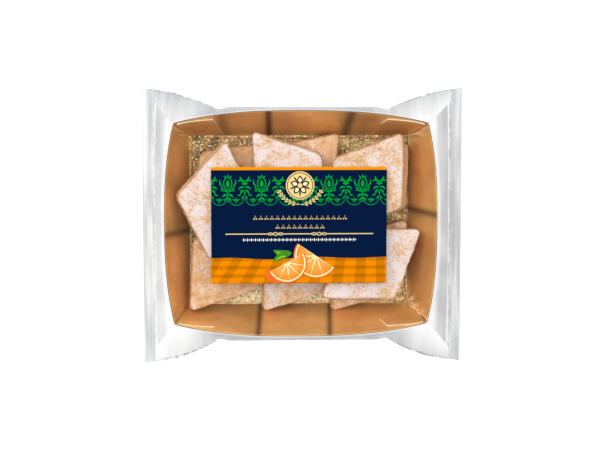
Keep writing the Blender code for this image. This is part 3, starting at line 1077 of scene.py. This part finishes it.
class Print:
    """Flat ink shapes, gathered in one mesh. Each shape has a level above the paper and an ink."""

    def __init__(self):
        self.mesh = bmesh.new()

    def shape(self, points, ink=0, level=1):
        vertices = [self.mesh.verts.new((x, y, level * INK_STEP)) for x, y in points]
        face = self.mesh.faces.new(vertices)
        face.material_index = ink
        face.normal_update()
        if face.normal.z < 0.0:
            face.normal_flip()

    def disc(self, x, y, radius, ink=0, level=1, cells=40):
        self.shape([around((x, y), radius, 360.0 * k / cells) for k in range(cells)], ink, level)

    def stroke(self, points, width, ink=0, level=1, taper=0.0):
        """A line of the given width, thinner at both ends by the share in taper."""
        count = len(points)
        left = []
        right = []
        for k, (x, y) in enumerate(points):
            before = points[max(k - 1, 0)]
            after = points[min(k + 1, count - 1)]
            along = Vector((after[0] - before[0], after[1] - before[1])).normalized()
            share = abs(2.0 * k / (count - 1) - 1.0)
            half = 0.5 * width * (1.0 - taper * share**2)
            left.append((x - along.y * half, y + along.x * half))
            right.append((x + along.y * half, y - along.x * half))
        for k in range(count - 1):
            self.shape([left[k], left[k + 1], right[k + 1], right[k]], ink, level)

    def arc(self, x, y, radius, start, end, width, ink=0, level=1, squash=1.0, taper=0.0):
        cells = max(6, int(abs(end - start) / 9.0))
        angles = [math.radians(mix(start, end, k / cells)) for k in range(cells + 1)]
        path = [(x + radius * math.cos(a), y + radius * squash * math.sin(a)) for a in angles]
        self.stroke(path, width, ink, level, taper)

    def petal(self, start, end, width, bend=0.0, ink=0, level=1):
        """A pointed leaf from start to end, curved to its left by the share in bend."""
        base = Vector(start)
        along = Vector(end) - base
        side = Vector((-along.y, along.x))
        cells = 10
        left = []
        right = []
        for k in range(cells + 1):
            share = k / cells
            middle = base + along * share + side * bend * math.sin(math.pi * share)
            half = 0.5 * width * math.sin(math.pi * share**0.8) ** 0.8
            left.append(middle + side.normalized() * half)
            right.append(middle - side.normalized() * half)
        outline = left + right[-2:0:-1]
        self.shape([(p.x, p.y) for p in outline], ink, level)

    def mirrored_petals(self, start, end, width, bend):
        self.petal(start, end, width, bend)
        self.petal((-start[0], start[1]), (-end[0], end[1]), width, -bend)

    def finish(self, name, inks):
        """The shapes as thin closed solids on the label."""
        bmesh.ops.triangulate(self.mesh, faces=[f for f in self.mesh.faces if len(f.verts) > 4])
        bmesh.ops.remove_doubles(self.mesh, verts=self.mesh.verts, dist=0.0005)
        obj = new_piece(name, self.mesh, inks)
        film = obj.modifiers.new("Ink", "SOLIDIFY")
        film.thickness = INK_THICKNESS
        film.offset = -1.0
        return put_on_label(plain_mesh(obj))


def put_on_label(obj):
    """Brings the piece from label millimetres to its place."""
    top = Vector((LABEL_CENTRE.x, LABEL_CENTRE.y, LABEL_HIGH.z))
    obj.data.transform(Matrix.Translation(top) @ Matrix.Scale(MM, 4))
    obj.data.shade_flat()
    return obj


def rounded_rectangle(half_x, half_y, corner, cells=6):
    points = []
    for x, y, start in ((1, 1, 0), (-1, 1, 90), (-1, -1, 180), (1, -1, 270)):
        middle = (x * (half_x - corner), y * (half_y - corner))
        points += [around(middle, corner, start + 90.0 * k / cells) for k in range(cells + 1)]
    return points


def build_paper(finishes):
    """The label's paper: dark field on top, plain paper underneath and at its edges."""
    mesh = bmesh.new()
    outline = rounded_rectangle(LABEL_HALF_X, LABEL_HALF_Y, LABEL_CORNER)
    thickness = (LABEL_HIGH.z - LABEL_LOW.z) / MM
    under = [mesh.verts.new((x, y, -thickness)) for x, y in outline]
    upper = [mesh.verts.new((x, y, 0.0)) for x, y in outline]
    mesh.faces.new(under[::-1]).material_index = 1
    mesh.faces.new(upper)
    for k in range(len(outline)):
        after = (k + 1) % len(outline)
        mesh.faces.new((under[k], under[after], upper[after], upper[k])).material_index = 1
    return put_on_label(new_piece("label_paper", mesh, finishes))


def cloth_top(x):
    """Upper edge of the checked cloth, gently waved."""
    return -21.6 + 0.55 * math.sin(x / 8.5 + 0.6) + 0.35 * math.sin(x / 19.0)


def build_fields(finishes):
    """Orange band along the top edge and checked cloth along the bottom edge."""
    ink = Print()
    inside = rounded_rectangle(LABEL_HALF_X, LABEL_HALF_Y, LABEL_CORNER)
    band_y = LABEL_HALF_Y - 2.0
    top = [p for p in inside if p[1] > band_y]
    ink.shape([(LABEL_HALF_X, band_y)] + top + [(-LABEL_HALF_X, band_y)], 0, 1)
    bottom = [p for p in inside if p[1] < -LABEL_HALF_Y + LABEL_CORNER + 0.001]
    cells = 60
    edge = [mix(LABEL_HALF_X, -LABEL_HALF_X, k / cells) for k in range(cells + 1)]
    ink.shape(bottom + [(x, cloth_top(x)) for x in edge], 1, 1)
    return ink.finish("label_fields", finishes)


def ornament_motif():
    """One repeat of the green band: a bud on a stem between two open flowers' halves."""
    ink = Print()
    ink.arc(0.0, 15.2, 2.7, 0.0, 360.0, 0.65, squash=1.45)
    ink.petal((0.0, 12.6), (0.0, 17.6), 2.3)
    ink.petal((0.0, 18.9), (0.0, 21.2), 1.1)
    ink.mirrored_petals((0.9, 19.2), (2.6, 20.4), 0.8, -0.15)
    ink.mirrored_petals((3.0, 13.0), (4.9, 18.4), 1.0, -0.22)
    ink.mirrored_petals((1.2, 11.0), (4.6, 13.4), 1.2, -0.20)
    ink.stroke([(0.0, 11.4), (0.0, 3.6)], 0.7)
    ink.mirrored_petals((0.3, 9.6), (4.8, 10.2), 1.3, 0.18)
    ink.mirrored_petals((0.3, 8.0), (3.6, 6.0), 1.3, 0.15)
    ink.mirrored_petals((0.2, 6.0), (2.2, 3.4), 1.0, 0.10)
    ink.petal((0.0, 4.8), (0.0, 2.6), 1.1)
    for side in (-1.0, 1.0):
        middle = side * 11.12

        def at(inwards, y):
            return (middle - side * inwards, y)

        ink.petal(at(0.1, 16.2), at(3.0, 20.0), 1.5, side * 0.16)
        ink.petal(at(2.4, 17.6), at(4.6, 17.4), 1.0, side * 0.2)
        ink.shape([at(0.0, 17.4), at(0.0, 13.8), at(0.9, 14.6), at(2.3, 15.0), at(1.0, 15.8)])
        ink.petal(at(0.2, 12.8), at(4.2, 11.0), 1.2, side * -0.2)
        ink.petal(at(0.4, 11.2), at(2.8, 8.0), 1.3, side * -0.15)
        ink.petal(at(2.4, 8.6), at(5.0, 7.6), 1.0, side * 0.25)
        ink.shape([at(0.0, 11.0), at(0.55, 9.4), at(0.0, 6.4)])
        ink.petal(at(0.3, 7.0), at(1.8, 4.6), 0.9, side * -0.1)
        scallop = 0.5 * middle
        ink.arc(scallop, 6.2, 5.2, 185.0, 355.0, 0.42, squash=1.02, taper=0.3)
        ink.petal((scallop, 2.2), (scallop, 6.0), 1.3)
        ink.petal((scallop - 0.3, 2.6), (scallop - 2.6, 4.9), 1.0, -0.2)
        ink.petal((scallop + 0.3, 2.6), (scallop + 2.6, 4.9), 1.0, 0.2)
    return ink.finish("ornament_motif", [])


def row_tree(name, finish):
    """Copies of one object in a row along X."""
    tree, given, output = new_geometry_tree(name, (
        ("Motif", "NodeSocketObject", None),
        ("Count", "NodeSocketInt", 6),
        ("Spacing", "NodeSocketFloat", 20.0 * MM),
    ))
    motif = add_node(tree, "GeometryNodeObjectInfo", {"Object": given.outputs["Motif"]})
    gap = add_node(tree, "ShaderNodeCombineXYZ", {0: given.outputs["Spacing"]})
    line = add_node(tree, "GeometryNodeMeshLine", {
        "Count": given.outputs["Count"], "Offset": gap.outputs[0],
    }, mode="OFFSET")
    placed = add_node(tree, "GeometryNodeInstanceOnPoints", {
        "Points": line.outputs[0], "Instance": motif.outputs["Geometry"],
    })
    end_tree(tree, placed.outputs[0], output, finish)
    return tree


def build_row(name, motif, count, spacing, start, finish):
    """Runs the row tree on a motif made at the label's middle, from start (label millimetres)."""
    row = run_tree(name, row_tree(name, finish), {"Motif": motif, "Count": count, "Spacing": spacing})
    row.data.transform(Matrix.Translation(Vector((start[0], start[1], 0.0)) * MM))
    bpy.data.objects.remove(motif)
    return row


def trim_to_label(obj):
    """Cuts what reaches past the label's left and right edges, and closes the cuts."""
    mesh = bmesh.new()
    mesh.from_mesh(obj.data)
    for side in (-1.0, 1.0):
        edge_x = LABEL_CENTRE.x + side * (LABEL_HALF_X - 0.02) * MM
        parts = mesh.verts[:] + mesh.edges[:] + mesh.faces[:]
        cut = bmesh.ops.bisect_plane(
            mesh, geom=parts, dist=1e-8, plane_co=(edge_x, 0.0, 0.0), plane_no=(side, 0.0, 0.0),
            clear_outer=True,
        )
        edges = [part for part in cut["geom_cut"] if isinstance(part, bmesh.types.BMEdge)]
        bmesh.ops.holes_fill(mesh, edges=edges)
    mesh.to_mesh(obj.data)
    mesh.free()
    obj.data.shade_flat()
    return obj


def build_ornament(settings, finish):
    period = settings.ornament_period
    start = (-47.0 - period / MM, 12.6)
    row = build_row("label_ornament", ornament_motif(), 7, period, start, finish)
    return trim_to_label(row)


def sprig_motif():
    """A small leaf pair with a berry, as wide as a letter."""
    ink = Print()
    ink.petal((-1.5, 0.0), (0.1, 2.6), 1.0, -0.22)
    ink.petal((1.5, 0.0), (-0.1, 2.6), 1.0, 0.22)
    ink.disc(0.0, 0.55, 0.55, cells=14)
    return ink.finish("sprig_motif", [])


def bead_motif():
    ink = Print()
    ink.shape([(-1.0, 0.0), (-0.45, -1.2), (0.1, 0.0), (-0.45, 1.2)])
    ink.shape([(0.55, 0.5), (0.55, -0.5), (1.05, -0.5), (1.05, 0.5)])
    return ink.finish("bead_motif", [])


def build_rule(finish):
    """Gold line with two plaited stretches, whose two strands close in at their ends."""
    ink = Print()
    y = -5.6
    ink.stroke([(-48.6, y), (-30.0, y), (-20.8, y)], 0.65)
    ink.stroke([(49.2, y), (30.0, y), (18.4, y)], 0.65)
    ink.stroke([(-10.4, y), (0.0, y), (8.0, y)], 0.65)
    for middle in (-15.6, 13.2):
        for phase in (0.0, math.pi):
            path = []
            for k in range(41):
                share = k / 40.0
                swing = 0.95 * math.sin(math.tau * 1.5 * share + phase) * math.sin(math.pi * share) ** 0.4
                path.append((middle - 5.4 + 10.8 * share, y + swing))
            ink.stroke(path, 0.55, level=2 if phase else 1)
    return ink.finish("label_rule", [finish])


def build_medallion(finishes):
    """Gold disc with an almond blossom, between two leafy sprays."""
    gold, dark, pale = range(3)
    ink = Print()
    middle = (0.6, 26.4)
    for radius, tone, level in ((9.4, gold, 3), (8.6, dark, 4), (8.1, gold, 5)):
        ink.disc(*middle, radius, tone, level, 72)
    for k in range(5):
        angle = 90.0 + 72.0 * k
        for way, start, end, width, tone, level in (
            (angle, 1.0, 6.6, 4.1, dark, 6),
            (angle, 2.0, 5.4, 2.5, pale, 7),
            (angle + 36.0, 3.6, 7.2, 1.1, dark, 6),
        ):
            ink.petal(around(middle, start, way), around(middle, end, way), width, 0.0, tone, level)
    ink.disc(*middle, 1.5, gold, 8, 24)
    for side in (-1.0, 1.0):
        stem = []
        for k in range(15):
            x, y = around((0.0, 0.0), 15.5, mix(-88.0, -22.0, k / 14.0))
            stem.append((middle[0] + side * x, middle[1] + 3.0 + y))
        ink.stroke(stem, 0.5, gold, 4)
        for k in range(2, 14, 2):
            root = Vector(stem[k])
            along = (Vector(stem[k + 1]) - Vector(stem[k - 1])).normalized()
            outer = Vector((along.y, -along.x)) * side
            for way in (-1.0, 1.0):
                tip = root + (along * 1.9 + outer * 1.7 * way)
                ink.petal(tuple(root), tuple(tip), 1.2, 0.12 * way * side, gold, 4)
    return ink.finish("label_medallion", finishes)


def half_slice(ink, middle, radius, tilt, inks, level):
    """Half a slice of orange: peel, pith and segments below a straight cut that leans by tilt."""
    peel, pith, flesh, juice = inks
    for reach, tone, height in ((radius, peel, level), (radius - 0.9, pith, level + 1)):
        edge = [around(middle, reach, tilt + 180.0 + 180.0 * k / 28.0) for k in range(29)]
        ink.shape(edge, tone, height)
    segments = 5
    for k in range(segments):
        start = tilt + 180.0 + 180.0 * k / segments + 0.4
        end = tilt + 180.0 + 180.0 * (k + 1) / segments - 0.4
        tip = around(middle, 1.9, 0.5 * (start + end))
        rim = [around(middle, radius - 1.9, mix(start, end, n / 8.0)) for n in range(9)]
        ink.shape([tip] + rim, flesh, level + 2)
        for n in (2, 4, 6):
            angle = mix(start, end, n / 8.0)
            near = around(middle, 3.4, angle)
            ink.petal(near, around(middle, radius - 2.6, angle), 0.7, 0.03, juice, level + 3)


def build_fruit(finishes):
    """Two half slices of orange with two leaves."""
    peel, pith, flesh, juice, leaf, leaf_light = range(6)
    ink = Print()
    inks = (peel, pith, flesh, juice)
    half_slice(ink, (11.3, -20.3), 15.0, -34.0, inks, 3)
    ink.petal((-22.3, -28.6), (-12.0, -37.9), 4.6, -0.16, peel, 7)
    half_slice(ink, (-8.2, -24.8), 13.5, 28.0, inks, 8)
    ink.petal((-4.8, -18.4), (-17.2, -16.4), 5.2, 0.12, leaf, 3)
    ink.petal((-6.8, -18.9), (-15.8, -17.0), 1.6, 0.10, leaf_light, 4)
    ink.petal((-6.6, -19.4), (-17.6, -24.0), 4.2, -0.10, leaf, 5)
    ink.petal((-8.5, -20.2), (-15.8, -23.3), 1.3, -0.08, leaf_light, 6)
    return ink.finish("label_fruit", finishes)


# Materials

def film_material(settings):
    """Cast polypropylene, blown thin and drawn tight: clear and glossy, milky where creased, and greyed
    by the painted shade in its veil.
    """
    made, tree = new_material("Polypropylene film")
    return finish_material(made, {
        "Base Color": (*settings.colour, 1.0),
        "Roughness": 0.28,
        "IOR": 1.49,
        "Specular IOR Level": 0.35,
        "Alpha": remap(
            tree, attribute(tree, "veil"), 0.0, 1.0, settings.window_alpha, settings.margin_alpha
        ),
        "Normal": bump(tree, mottle(tree, 70.0, 3.0), 0.08, 1.0 * MM),
    })


def wall_foil_material(settings):
    """Aluminium foil lacquered gold and laminated on card: softly glossy, with painted shade in dark
    bands and a painted pale glint on the creases by its corners.
    """
    made, tree = new_material("Gold foil, smooth")
    dark = [c * share for c, share in zip(settings.foil, (0.88, 0.78, 0.68))]
    light = [min(c * 1.08, 1.0) for c in settings.foil]
    patches = remap(tree, mottle(tree, 45.0, 3.0, 0.55), 0.35, 0.65)
    tone = blend(tree, patches, (*dark, 1.0), (*light, 1.0))
    # painted shade: dark bands where shadows and dark reflections fall on the walls
    banded = blend(tree, attribute(tree, "band"), tone, hex_colour("#5A2A12"))
    crease = attribute(tree, "crease")
    return finish_material(made, {
        # painted highlight: pale, less metallic foil along the corner creases stands for their glint
        "Base Color": blend(tree, crease, banded, hex_colour("#FFE9B4")),
        "Metallic": remap(tree, crease, 0.0, 1.0, 0.55, 0.0),
        "Roughness": 0.40,
        "Normal": bump(tree, mottle(tree, 220.0, 4.0, 0.6), 0.2, 0.30 * MM),
    })


def floor_foil_material(settings):
    """The same foil, embossed with fine pips, with painted reflections: patches and single pips are
    painted light or dark. Pips drawn 1 mm wide.
    """
    made, tree = new_material("Gold foil, embossed")
    # painted reflection: patches of the floor's colour stand for what its foil mirrors
    spread = calculate(tree, "MULTIPLY_ADD", mottle(tree, 110.0, 2.0, 0.55), 1.3, -0.65)
    ground = ramp(tree, calculate(tree, "ADD", spread, attribute(tree, "glow")), (
        (0.05, "#5E5138"), (0.28, "#8A6F4C"), (0.45, "#A98E60"),
        (0.62, (*settings.floor_foil, 1.0)), (0.85, "#DCC9A0"),
    ))
    pips = add_node(tree, "ShaderNodeTexVoronoi", {"Vector": own_place(tree), "Scale": 1.0 / PIP_SIZE})
    cell = add_node(tree, "ShaderNodeSeparateColor", {0: pips.outputs["Color"]})
    # painted reflection: each pip is painted dark or as a pale glint
    dark = remap(tree, cell.outputs[0], 0.45, 1.0, high=0.70)
    bright = remap(tree, cell.outputs[1], 0.72, 1.0, high=0.80)
    shaded = blend(tree, dark, ground, hex_colour("#4A3C28"))
    return finish_material(made, {
        "Base Color": blend(tree, bright, shaded, hex_colour("#F0D7A2")),
        "Metallic": 1.0,
        "Roughness": 0.42,
        "Normal": bump(tree, pips.outputs["Distance"], 0.7, 0.30 * MM),
    })


def rim_and_slot_foil_material():
    """Dark, dull brown foil: on the card's cut rim, and as painted shade in the slot where each tab's
    corner end meets the wall.
    """
    made, _ = new_material("Gold foil, folded edge")
    return finish_material(made, {
        "Base Color": hex_colour("#7A4A22"), "Metallic": 0.5, "Roughness": 0.55,
    })


def board_material():
    """Uncoated grey-white carton board, cut and folded: matt, faintly fibrous."""
    made, tree = new_material("Carton board")
    fibre = mottle(tree, 400.0, 3.0)
    return finish_material(made, {
        "Base Color": blend(tree, fibre, hex_colour("#E4D2AC"), hex_colour("#F6EBD0")),
        "Roughness": 0.8,
        "Normal": bump(tree, fibre, 0.2, 0.1 * MM),
    })


def biscuit_material():
    """Baked almond paste under icing sugar: pale tan, matt, with white patches where sugar clings."""
    made, tree = new_material("Almond paste and icing sugar")
    baked = ramp(tree, mottle(tree, 240.0, 6.0, 0.7), (
        (0.30, "#C08C58"), (0.47, "#D3A475"), (0.66, "#DEBC92"),
    ))
    grain = calculate(tree, "ADD", mottle(tree, 1100.0, 3.0, 0.6), mottle(tree, 420.0, 5.0, 0.65))
    reach = calculate(tree, "MULTIPLY_ADD", attribute(tree, "sugar"), 0.55, grain)
    cover = remap(tree, reach, 1.15, 1.50, high=0.85, interpolation_type="SMOOTHSTEP")
    return finish_material(made, {
        "Base Color": blend(tree, cover, baked, hex_colour("#E6DBDC")),
        "Roughness": 0.85,
        "Subsurface Weight": 0.08,
        "Subsurface Radius": (1.0, 0.6, 0.35),
        "Subsurface Scale": 1.0 * MM,
        "Normal": bump(tree, grain, 0.45, 0.35 * MM),
    })


def grain_material():
    """Icing sugar gathered into tiny grains: white, faintly warm."""
    made, tree = new_material("Icing sugar grains")
    tone = blend(tree, mottle(tree, 500.0), hex_colour("#E9CDB4"), hex_colour("#FBF1EE"))
    return finish_material(made, {"Base Color": tone, "Roughness": 0.7})


def ink_material(name, colour, roughness=0.38, metallic=0.0):
    """Offset ink on coated paper. Its tone varies a little, as a printed field's does."""
    made, tree = new_material(name)
    base = hex_colour(colour)
    deep = (*[c * 0.88 for c in base[:3]], 1.0)
    return finish_material(made, {
        "Base Color": blend(tree, mottle(tree, 300.0), deep, base),
        "Roughness": roughness,
        "Metallic": metallic,
        "Specular IOR Level": 0.0,
        "Normal": bump(tree, mottle(tree, 45.0), 0.05, 0.5 * MM),
    })


def square_wave(tree, value, period, share):
    """1 for a share of each period of value, else 0."""
    part = calculate(tree, "FRACT", calculate(tree, "DIVIDE", value, period))
    return calculate(tree, "LESS_THAN", part, share)


def checked_material(settings):
    """Printed picture of a checked cotton cloth: two crossing sets of darker stripes."""
    made, tree = new_material("Ink, checked cloth")
    x, y, _ = add_node(tree, "ShaderNodeSeparateXYZ", {0: own_place(tree)}).outputs
    lean = remap(tree, x, -50.0 * MM, 45.0 * MM, -0.55, 0.0)
    slant = calculate(tree, "MULTIPLY_ADD", y, lean, x)
    upright = square_wave(tree, slant, settings.check_width, 0.48)
    lying = square_wave(tree, y, 0.46 * settings.check_width, 0.42)
    depth = calculate(tree, "MULTIPLY", calculate(tree, "ADD", upright, lying), 0.5)
    shade = calculate(tree, "MULTIPLY_ADD", mottle(tree, 380.0, 3.0, 0.7), 0.35, depth)
    tones = ramp(tree, shade, ((0.15, "#EA8500"), (0.65, "#CC7500"), (1.0, "#AE6600")))
    return finish_material(made, {
        "Base Color": tones, "Roughness": 0.38, "Specular IOR Level": 0.0,
    })


# Operators

def settings_of(context):
    return context.scene.biscuit_pack


class PACK_OT_film(bpy.types.Operator):
    """Clear film round the tray, with its lengthwise seal and its crimped fins"""

    bl_idname = "biscuit_pack.film"
    bl_label = "Film"

    def execute(self, context):
        settings = settings_of(context).film
        finish = film_material(settings)
        pieces = [
            build_film(settings, finish),
            build_back_seal(finish),
            build_fin("film_fin_left", -1.0, settings, finish),
            build_fin("film_fin_right", 1.0, settings, finish),
        ]
        for piece in pieces:
            hand_in(piece, "bag")
        return {"FINISHED"}


class PACK_OT_tray(bpy.types.Operator):
    """Flared card tray, gold inside, with four glued corner tabs"""

    bl_idname = "biscuit_pack.tray"
    bl_label = "Tray"

    def execute(self, context):
        settings = settings_of(context).tray
        walls = wall_foil_material(settings)
        floor = floor_foil_material(settings)
        board = board_material()
        folded = rim_and_slot_foil_material()
        hand_in(build_tray([walls, board, floor, board, folded]), "tray")
        hand_in(build_tabs(settings, [walls, board, folded]), "tray")
        return {"FINISHED"}


class PACK_OT_biscuits(bpy.types.Operator):
    """Lozenge-shaped almond biscuits with sugar grains on them"""

    bl_idname = "biscuit_pack.biscuits"
    bl_label = "Biscuits"

    def execute(self, context):
        settings = settings_of(context).biscuits
        finish = biscuit_material()
        biscuits = [build_biscuit(row, settings.height, finish) for row in BISCUITS]
        hidden = [build_biscuit(row, settings.height, finish) for row in HIDDEN_BISCUITS]
        joined = bmesh.new()
        for biscuit in biscuits:
            joined.from_mesh(biscuit.data)
        crust = new_piece("crust_guide", joined, [finish])
        grains = run_tree("sugar_grains", grain_tree(grain_material()), {
            "Crust": crust, "Density": settings.grain_density, "Size": settings.grain_size,
        })
        bpy.data.objects.remove(crust)
        for row, biscuit in zip(BISCUITS, biscuits):
            hand_in(biscuit, row[0])
        for biscuit in hidden:
            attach(biscuit, "root")
        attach(grains, "root")
        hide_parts(*[row[0] for row in BISCUITS])
        return {"FINISHED"}


class PACK_OT_label(bpy.types.Operator):
    """Paper label and its print"""

    bl_idname = "biscuit_pack.label"
    bl_label = "Label"

    def execute(self, context):
        settings = settings_of(context).label
        navy = ink_material("Ink, dark blue", "#06193C")
        paper = ink_material("Coated paper", "#F2EFE6", 0.5)
        orange = ink_material("Ink, orange", "#F39200")
        green = ink_material("Ink, green", "#00A02D")
        gold = ink_material("Ink, gold", "#DDC47E", 0.42, 0.35)
        white = ink_material("Ink, white", "#F1EFE8")
        pieces = [
            build_paper([navy, paper]),
            build_fields([orange, checked_material(settings)]),
            build_ornament(settings, green),
            build_row("label_garland", sprig_motif(), 17, 3.7 * MM, (-29.0, 4.0), gold),
            build_row("label_garland_short", sprig_motif(), 9, 3.7 * MM, (-14.2, -2.0), gold),
            build_row("label_beads", bead_motif(), 29, 2.6 * MM, (-36.2, -9.5), white),
            build_rule(gold),
            build_medallion([gold, navy, ink_material("Ink, pale gold", "#F0DFA2", 0.42, 0.2)]),
            build_fruit([
                ink_material("Ink, orange peel", "#EE6A28"),
                ink_material("Ink, pith", "#FFE9B0"),
                ink_material("Ink, orange flesh", "#F58E2A"),
                ink_material("Ink, orange juice", "#FCB25A"),
                ink_material("Ink, leaf", "#3E8A1E"),
                ink_material("Ink, leaf light", "#86BE3A"),
            ]),
        ]
        for piece in pieces:
            hand_in(piece, "label")
        return {"FINISHED"}


class PACK_OT_stage(bpy.types.Operator):
    """Pale floor, soft studio light and the camera above the pack"""

    bl_idname = "biscuit_pack.stage"
    bl_label = "Stage"

    def execute(self, context):
        settings = settings_of(context).stage
        build_floor()
        build_lights(context)
        build_camera(context, settings)
        return {"FINISHED"}


def build_floor():
    mesh = bmesh.new()
    bmesh.ops.create_grid(mesh, x_segments=1, y_segments=1, size=2.5)
    made, _ = new_material("White studio table")
    finish_material(made, {
        "Base Color": (0.30, 0.30, 0.30, 1.0),
        "Roughness": 0.9,
        "Specular IOR Level": 0.0,
        "Emission Color": (1.0, 1.0, 1.0, 1.0),
        "Emission Strength": 0.92,
    })
    floor = new_piece("studio_table", mesh, [made])
    floor.data.transform(Matrix.Translation((0.0, 0.0, -0.2 * MM)))


def add_light(context, name, place, size, power):
    """Square soft light that faces the pack."""
    lamp = bpy.data.lights.new(name, "AREA")
    lamp.shape = "RECTANGLE"
    lamp.size, lamp.size_y = size
    lamp.energy = power
    obj = bpy.data.objects.new(name, lamp)
    aim = Vector((0.0, 0.0, 0.02)) - Vector(place)
    obj.rotation_euler = aim.to_track_quat("-Z", "Y").to_euler()
    obj.location = place
    context.scene.collection.objects.link(obj)


def build_lights(context):
    world = bpy.data.worlds.new("Studio")
    world.use_nodes = True
    world.node_tree.nodes["Background"].inputs["Color"].default_value = (1.0, 1.0, 1.0, 1.0)
    world.node_tree.nodes["Background"].inputs["Strength"].default_value = 0.40
    context.scene.world = world
    add_light(context, "softbox_left", (-0.9, 0.35, 1.0), (0.8, 0.8), 7.5)
    add_light(context, "softbox_right", (0.95, 0.1, 0.9), (0.6, 0.9), 3.0)
    add_light(context, "softbox_back", (0.0, 1.1, 0.9), (1.2, 0.5), 4.0)
    add_light(context, "softbox_above", (-0.15, 0.2, 1.7), (1.2, 1.2), 12.0)


def build_camera(context, settings):
    camera = bpy.data.cameras.new("Camera")
    obj = bpy.data.objects.new("Camera", camera)
    target = Vector((*VIEW_CENTRE, RIM_Z))
    away = Vector((-math.tan(settings.lean_left), math.tan(settings.lean_up), 1.0)).normalized()
    right = Vector((0.0, 1.0, 0.0)).cross(away).normalized()
    up = away.cross(right)
    turn = Matrix((right, up, away)).transposed().to_4x4()
    obj.matrix_world = Matrix.Translation(target + away * settings.camera_distance) @ turn
    camera.sensor_width = 36.0
    camera.lens = camera.sensor_width * settings.camera_distance / (VIEW_PIXELS * PIXEL_SIZE)
    context.scene.collection.objects.link(obj)
    context.scene.camera = obj
    context.scene.view_settings.view_transform = "Standard"


class PACK_PT_panel(bpy.types.Panel):
    """Lists the steps that build the pack"""

    bl_idname = "PACK_PT_panel"
    bl_label = "Almond biscuit pack"
    bl_space_type = "VIEW_3D"
    bl_region_type = "UI"
    bl_category = "Biscuit Pack"

    def draw(self, context):
        settings = settings_of(context)
        for group in (settings.film, settings.tray, settings.biscuits, settings.label, settings.stage):
            box = self.layout.box()
            for name in group.__annotations__:
                box.prop(group, name)
        for step in STEPS:
            self.layout.operator(step.bl_idname)


GROUPS = (FilmSettings, TraySettings, BiscuitSettings, LabelSettings, StageSettings, PackSettings)
STEPS = (PACK_OT_film, PACK_OT_tray, PACK_OT_biscuits, PACK_OT_label, PACK_OT_stage)
CLASSES = GROUPS + STEPS + (PACK_PT_panel,)


def register():
    for item in CLASSES:
        bpy.utils.register_class(item)
    bpy.types.Scene.biscuit_pack = bpy.props.PointerProperty(type=PackSettings)


def unregister():
    del bpy.types.Scene.biscuit_pack
    for item in reversed(CLASSES):
        bpy.utils.unregister_class(item)


def main():
    register()
    bpy.ops.biscuit_pack.film()
    bpy.ops.biscuit_pack.tray()
    bpy.ops.biscuit_pack.biscuits()
    bpy.ops.biscuit_pack.label()
    bpy.ops.biscuit_pack.stage()


if __name__ == "__main__":
    main()
